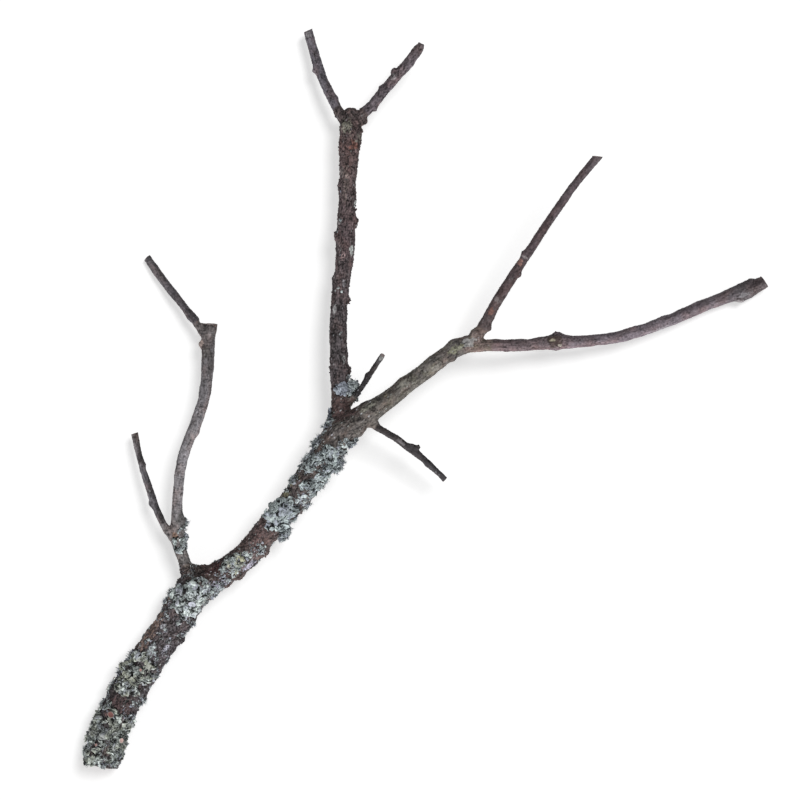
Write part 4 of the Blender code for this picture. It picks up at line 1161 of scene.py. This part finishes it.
def makeCrust(name, look):
    # the crust's own body: thin and lumpy, sunk into the bark at its edge and at bare spots
    mesh = remeshed(mergedNode(name), crustLook["voxel"] * mm)
    spots, links, quads = arraysOf(mesh)
    spots += np.array(look.get("shift", (0, 0, 0))) * mm
    spots = relax(spots, links, crustLook["smoothing"])
    outward = normalsOf(spots, quads)
    hits = [woodTree.find_nearest(Vector(spot)) for spot in spots]
    feet, uprights = (np.array([tuple(hit[k]) for hit in hits]) for k in range(2))
    above = ((spots - feet) * uprights).sum(axis=1) / mm
    broad, narrow = crustLook["patchSizes"]
    cover = 0.6 * smoothNoise(spots / mm, broad, 31) + 0.5 * smoothNoise(spots / mm, narrow, 32)
    sunk = (above < crustLook["sinkReach"]) | (cover < look["bare"])
    opened = np.clip((above - crustLook["openFrom"]) / crustLook["openTo"], 0, 1) * ~sunk
    broad, narrow = crustLook["lumpSizes"]
    lumps = smoothNoise(spots / mm, broad, 33) + 0.6 * smoothNoise(spots / mm, narrow, 34)
    lift = ((look.get("thin", crustLook["thin"]) - 1) * np.minimum(above, crustLook["thickest"])
            + crustLook["lump"] * (lumps - 0.2))
    raised = spots + outward * lift[:, None] * mm
    low = feet - uprights * crustLook["sink"] * mm
    spots = relax(np.where(sunk[:, None], low, raised), links, crustLook["edgeSmoothing"], push=0)
    made = meshOf(name, spots, quads.tolist())
    for label, values in (("open", opened), ("rim", np.full(len(spots), 0.15)),
                          ("tint", 0.1 + 0.35 * spread(-0.3, 0.8, lumps))):
        addAttribute(made, label, "FLOAT", values)
    made.shade_smooth()
    return made


# The flat rosette: its place on a limb, and the count, reach, size and lift of each ring of leaves
rosette = dict(place=("middle", 27, -17), start=4.0,
               rings=((9, 2.8, 1.7, 0.30), (5, 1.4, 1.6, 0.60), (1, 0.0, 1.5, 0.85)))


def laidRosette():
    # rings of broad leaves that lie flat round one place on the wood
    start, direction, heading, radius = limbPlace(*rosette["place"])
    side = direction.cross(heading).normalized()
    meshes = []
    random.seed(17)
    for count, reach, size, lift in rosette["rings"]:
        for k in range(count):
            turn = math.tau * (k + random.uniform(-0.2, 0.2)) / count
            out = side * math.cos(turn) + heading * math.sin(turn)
            above = (start + out * reach * random.uniform(0.85, 1.1) * mm
                     + direction * (radius + rosette["start"] * mm))
            foot, normal = woodTree.ray_cast(above, -direction)[:2]
            if foot is None:
                continue
            upward = (normal + direction - out * 0.25).normalized()
            aside = upward.cross(out).normalized()
            turned = Matrix((aside.cross(upward), aside, upward)).transposed().to_4x4()
            mesh = leafMesh(700 + 20 * count + k, leafLook["spokes"], (0.6, 1.0), 0.05, 0.05)
            mesh.transform(Matrix.Translation(foot + upward * lift * mm) @ turned
                           @ Matrix.Scale(size * random.uniform(0.85, 1.2), 4))
            for label, value in (("tint", random.uniform(0.5, 0.8)), ("hue", random.uniform(0.2, 0.9))):
                addAttribute(mesh, label, "FLOAT", [value] * len(mesh.vertices))
            meshes.append(mesh)
    return meshes


def makeDisc(limb, distance, angle, lift, size, red, number):
    # a shallow cup with a raised rim
    start, direction, heading, radius = limbPlace(limb, distance, angle)
    centre = start + direction * (radius + lift * mm)
    side = direction.cross(heading).normalized()
    random.seed(300 + number)
    rows = ((0.0, 0.0, 1), (0.7, -0.04, 1), (0.88, 0.14, 0.7), (1.0, 0.06, 0.1), (0.75, -0.5, 0))
    spokes, corners, shares = 14, [], []
    for reach, height, share in rows:
        for k in range(spokes if reach else 1):
            turn = math.tau * k / spokes
            wide = reach * size * (1 + 0.08 * math.sin(2 * turn + number)) + random.uniform(-0.03, 0.03)
            corners.append(centre + (side * math.cos(turn) * wide + heading * math.sin(turn) * wide
                                     + direction * height * size) * mm)
            shares.append(share)
    corners.append(centre - direction * size * mm)
    shares.append(0)
    polygons = []
    for k in range(spokes):
        a, b = 1 + k, 1 + (k + 1) % spokes
        polygons.append((0, a, b))
        for row in range(3):
            here, below = row * spokes, (row + 1) * spokes
            polygons.append((a + here, a + below, b + below, b + here))
        polygons.append((a + 3 * spokes, len(corners) - 1, b + 3 * spokes))
    mesh = meshOf("disc", corners, polygons)
    addAttribute(mesh, "disc", "FLOAT", shares)
    for label, value in (("red", red), ("tint", 0.8), ("rim", 0.8)):
        addAttribute(mesh, label, "FLOAT", [value] * len(corners))
    mesh.shade_smooth()
    return mesh


def joinMeshes(name, meshes):
    # keeps the attributes of every mesh, with one material
    parts = [newPiece(name if i == 0 else f"{name}_{i}", mesh) for i, mesh in enumerate(meshes)]
    if len(parts) == 1:
        return parts[0]
    with bpy.context.temp_override(active_object=parts[0], object=parts[0], selected_objects=parts,
                                   selected_editable_objects=parts):
        bpy.ops.object.join()
    return parts[0]


def makeLichen(number, name):
    look = lichenLook[name]
    finish = lichenMaterial(name, look)
    crust = makeCrust(name, look)
    crust.materials.append(finish)
    body = newPiece(name + "_body", crust)
    meshes = [crust]
    for kind in ("leaves", "crumbs", "sprigs"):
        if kind in look:
            meshes.append(strewOver(body, kind, look[kind], 100 + 10 * number + len(meshes), finish))
    bpy.data.objects.remove(body, do_unlink=True)
    loose = laidRosette() if "laid" in look else []
    loose += [makeDisc(*settings, count) for count, (lichen, *settings) in enumerate(discs) if lichen == name]
    for mesh in loose:
        mesh.materials.append(finish)
    piece = joinMeshes(name + "_thallus", meshes + loose)
    print(" ", name, len(piece.data.polygons), "faces")
    return piece


lichenPieces = {name: makeLichen(number, name) for number, name in enumerate(lichenLook)}
for name, piece in lichenPieces.items():
    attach(piece, "root")
    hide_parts(name)
print("lichens grown:", len(lichenPieces))


# Bark flakes and small lichens scattered over the rough wood
leastOpen = 0.02  # faces that are less open than this are left out


def scatterBase(opened):
    quads = faces[opened[faces].max(axis=1) > leastOpen]
    used, renumber = takenOut(quads)
    mesh = meshOf("scatterBase", points[used], renumber[quads].tolist())
    addAttribute(mesh, "open", "FLOAT", opened[used])
    addAttribute(mesh, "barkTone", "FLOAT_COLOR", np.c_[tones[used], np.ones(len(used))])
    return newPiece("scatterBase", mesh)


def flakeMaterial():
    made, tree, shader = newFinish("barkFlakes", specular=0.25, roughness=0.9)
    mix, mapped, times, plus, noise = shaderTools(tree)
    place = addNode(tree, "ShaderNodeTexCoord").outputs["Object"]
    mottle = mapped(noise(place, 1300.0, 3.0, 0.7), 0.3, 0.7, (0.6, 1.4))
    shade = times(mapped(attributeOf(tree, "tint"), 0.0, 1.0, (0.35, 1.7)), mottle)
    tree.links.new(mix(1.0, attributeOf(tree, "barkTone", "Color"), greyOf(tree, shade), "MULTIPLY"),
                   shader.inputs["Base Color"])
    return made


def scatter(name, opened, kind, sizes, seed, finish):
    base = scatterBase(opened)
    piece = joinMeshes(name, [strewOver(base, kind, sizes, seed, finish)])
    bpy.data.objects.remove(base, do_unlink=True)
    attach(piece, "root")
    print(" ", name, len(piece.data.polygons), "faces")
    return piece


onWood = 1 - cutMask
onTrunk = pointLimbs == limbNumber["trunk"]
flaky = spread(0.25, 0.8, rough) * spread(-0.3, 0.2, smoothNoise(grain, 9.0, 51)) * onWood
dusted = smoothNoise(grain, 6.0, 52) + 0.4 * smoothNoise(grain, 2.5, 53)
dusted = spread(0.30, 0.9, rough) * spread(0.10, 0.34, dusted) * onWood * np.where(onTrunk, 1, 0.25)
dusted *= np.where(onTrunk, spread(250, 235, along), 0.2 * spread(14, 24, along))

# Tufts that stand out at the sides: distance, angle, half length and half width in millimetres
tufts = {
    "trunk": [(48, -88, 3.0, 3.2), (31, -86, 3.4, 3.2), (22, 88, 2.5, 3.2), (36, 90, 2.5, 3.2),
              (47, 88, 3.0, 3.2), (57, 84, 4.0, 3.2), (68, 74, 4.0, 3.2), (108, 86, 2.2, 3.2),
              (113, 86, 2.0, 3.2), (66, -60, 2.4, 3.2), (104, -84, 2.0, 3.2), (196, -84, 3.0, 3.2),
              (206, -80, 2.5, 3.2), (222, -88, 3.5, 3.2), (244, -88, 4.0, 3.2), (214, 84, 3.0, 3.2),
              (229, 80, 3.0, 3.2), (8, 80, 3.0, 3.2), (10, -85, 3.0, 3.2), (4, 40, 3.0, 3.2),
              (4, -10, 3.0, 3.2), (5, -50, 2.5, 3.2), (240, 84, 4.0, 3.2), (252, 84, 3.0, 3.2)],
    "leftBranch": [(43, -84, 4.0, 1.6)], "middle": [(25, -96, 2.6, 2.4)],
}
# Flat leaves on bare bark, in the same way
leafy = {
    "trunk": [(238, 62, 12, 3.5), (226, 66, 6, 3), (207, -28, 6, 5), (214, -62, 6, 4), (168, -38, 4, 3),
              (160, -10, 6, 3), (62, 64, 9, 2.6), (79, 8, 5, 2.4), (131, -64, 8, 3), (139, -40, 7, 4),
              (151, 6, 11, 6.5), (246, -40, 8, 4), (192, -66, 5, 3), (30, -60, 9, 3.5)],
    "middle": [(34, -60, 3, 1.6)],
}


def grownOver(spots, raggedness):
    # how far each point of the wood is covered, from 0 to 1
    cover = np.zeros(len(points))
    for limb, entries in spots.items():
        for entry in entries:
            cover = np.maximum(cover, spotCover(limb, *entry, raggedness, 1.02) * onWood)
    return cover


leaved, tufted = grownOver(leafy, 0.8), grownOver(tufts, 0.5)
scattered = []
for name, opened, kind, sizes, seed in (
        ("trunk_bark_flakes", flaky, "flakes", (0.5, 1.3, 2.0, 0.5), 501),
        ("trunk_small_lichens", dusted, "crumbs", (0.3, 1.0, 1.2, 0.5), 502),
        ("trunk_flat_leaves", leaved, "leaves", (0.5, 1.7, 1.35, 0.35), 505),
        ("trunk_edge_leaves", tufted, "leaves", (0.7, 1.6, 1.1, 0.9), 503),
        ("trunk_edge_sprigs", tufted, "sprigs", (1.4, 3.6, 1.15, 0.7), 504)):
    finish = flakeMaterial() if kind == "flakes" else lichenMaterial(name, dict(kind="blue", yellow=0.10))
    scattered.append(scatter(name, opened, kind, sizes, seed, finish))

# Nothing reaches past the model's own box
for piece in [*woodPieces.values(), *lichenPieces.values(), *scattered]:
    spots = np.empty(len(piece.data.vertices) * 3)
    piece.data.vertices.foreach_get("co", spots)
    spots = np.clip(spots.reshape(-1, 3), np.array(cadLow), np.array(cadHigh))
    piece.data.vertices.foreach_set("co", spots.ravel())
    piece.data.update()

# Stage: a lit white table, a steep lamp for the shadows, a broad soft box in front and a pale sky
stageLook = dict(floorSize=6.0, floorTone=0.85, floorGlow=0.50, skyTone=1.0, skyStrength=0.28,
                 sunFrom=(0.42, 0.42, 1.0), sunPower=1.45, sunAngle=24.0,
                 boxPlace=(-0.35, -1.35, 1.0), boxSize=0.9, boxPower=33.0,
                 cameraHeight=1.5, focusHeight=0.015, viewWidth=0.48, viewMiddle=(-0.0147, -0.0006))


def put(name, data, place):
    made = bpy.data.objects.new(name, data)
    made.location = place
    bpy.context.scene.collection.objects.link(made)
    return made


def addLamp(name, kind, place, **settings):
    lamp = bpy.data.lights.new(name, kind)
    for key, value in settings.items():
        setattr(lamp, key, value)
    made = put(name, lamp, place)
    made.rotation_euler = (-Vector(place)).to_track_quat("-Z", "Y").to_euler()
    return made


def makeStage():
    look = stageLook
    half = look["floorSize"] / 2
    corners = [(-half, -half, 0), (half, -half, 0), (-half, half, 0), (half, half, 0)]
    floor = newPiece("floor", meshOf("floor", corners, [(0, 1, 3, 2)]))
    finish, tree, shader = newFinish("paleFloor", specular=0.1, roughness=0.9)
    shader.inputs["Base Color"].default_value = (look["floorTone"],) * 3 + (1,)
    shader.inputs["Emission Color"].default_value = (1, 1, 1, 1)
    shader.inputs["Emission Strength"].default_value = look["floorGlow"]
    floor.data.materials.append(finish)
    floor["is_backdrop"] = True
    sky = bpy.data.worlds.new("paleSky")
    sky.use_nodes = True
    back = sky.node_tree.nodes["Background"]
    back.inputs["Color"].default_value = (look["skyTone"],) * 3 + (1,)
    back.inputs["Strength"].default_value = look["skyStrength"]
    bpy.context.scene.world = sky
    addLamp("steepLamp", "SUN", look["sunFrom"], energy=look["sunPower"],
            angle=math.radians(look["sunAngle"]))
    box = addLamp("softBox", "AREA", look["boxPlace"], energy=look["boxPower"], shape="DISK",
                  size=look["boxSize"])
    lit = bpy.data.collections.new("litByBox")
    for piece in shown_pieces():
        if piece is not floor:
            lit.objects.link(piece)
    box.light_linking.receiver_collection = lit
    eye = bpy.data.cameras.new("camera")
    eye.sensor_width = 36.0
    eye.lens = eye.sensor_width * (look["cameraHeight"] - look["focusHeight"]) / look["viewWidth"]
    eye.clip_start, eye.clip_end = 0.05, 20.0
    bpy.context.scene.camera = put("camera", eye, (*look["viewMiddle"], look["cameraHeight"]))
    bpy.context.scene.view_settings.view_transform = "Standard"


makeStage()
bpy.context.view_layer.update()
total = sum(len(p.vertices) - 2 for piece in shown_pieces() if piece.type == "MESH" for p in piece.data.polygons)
print("triangles:", total)
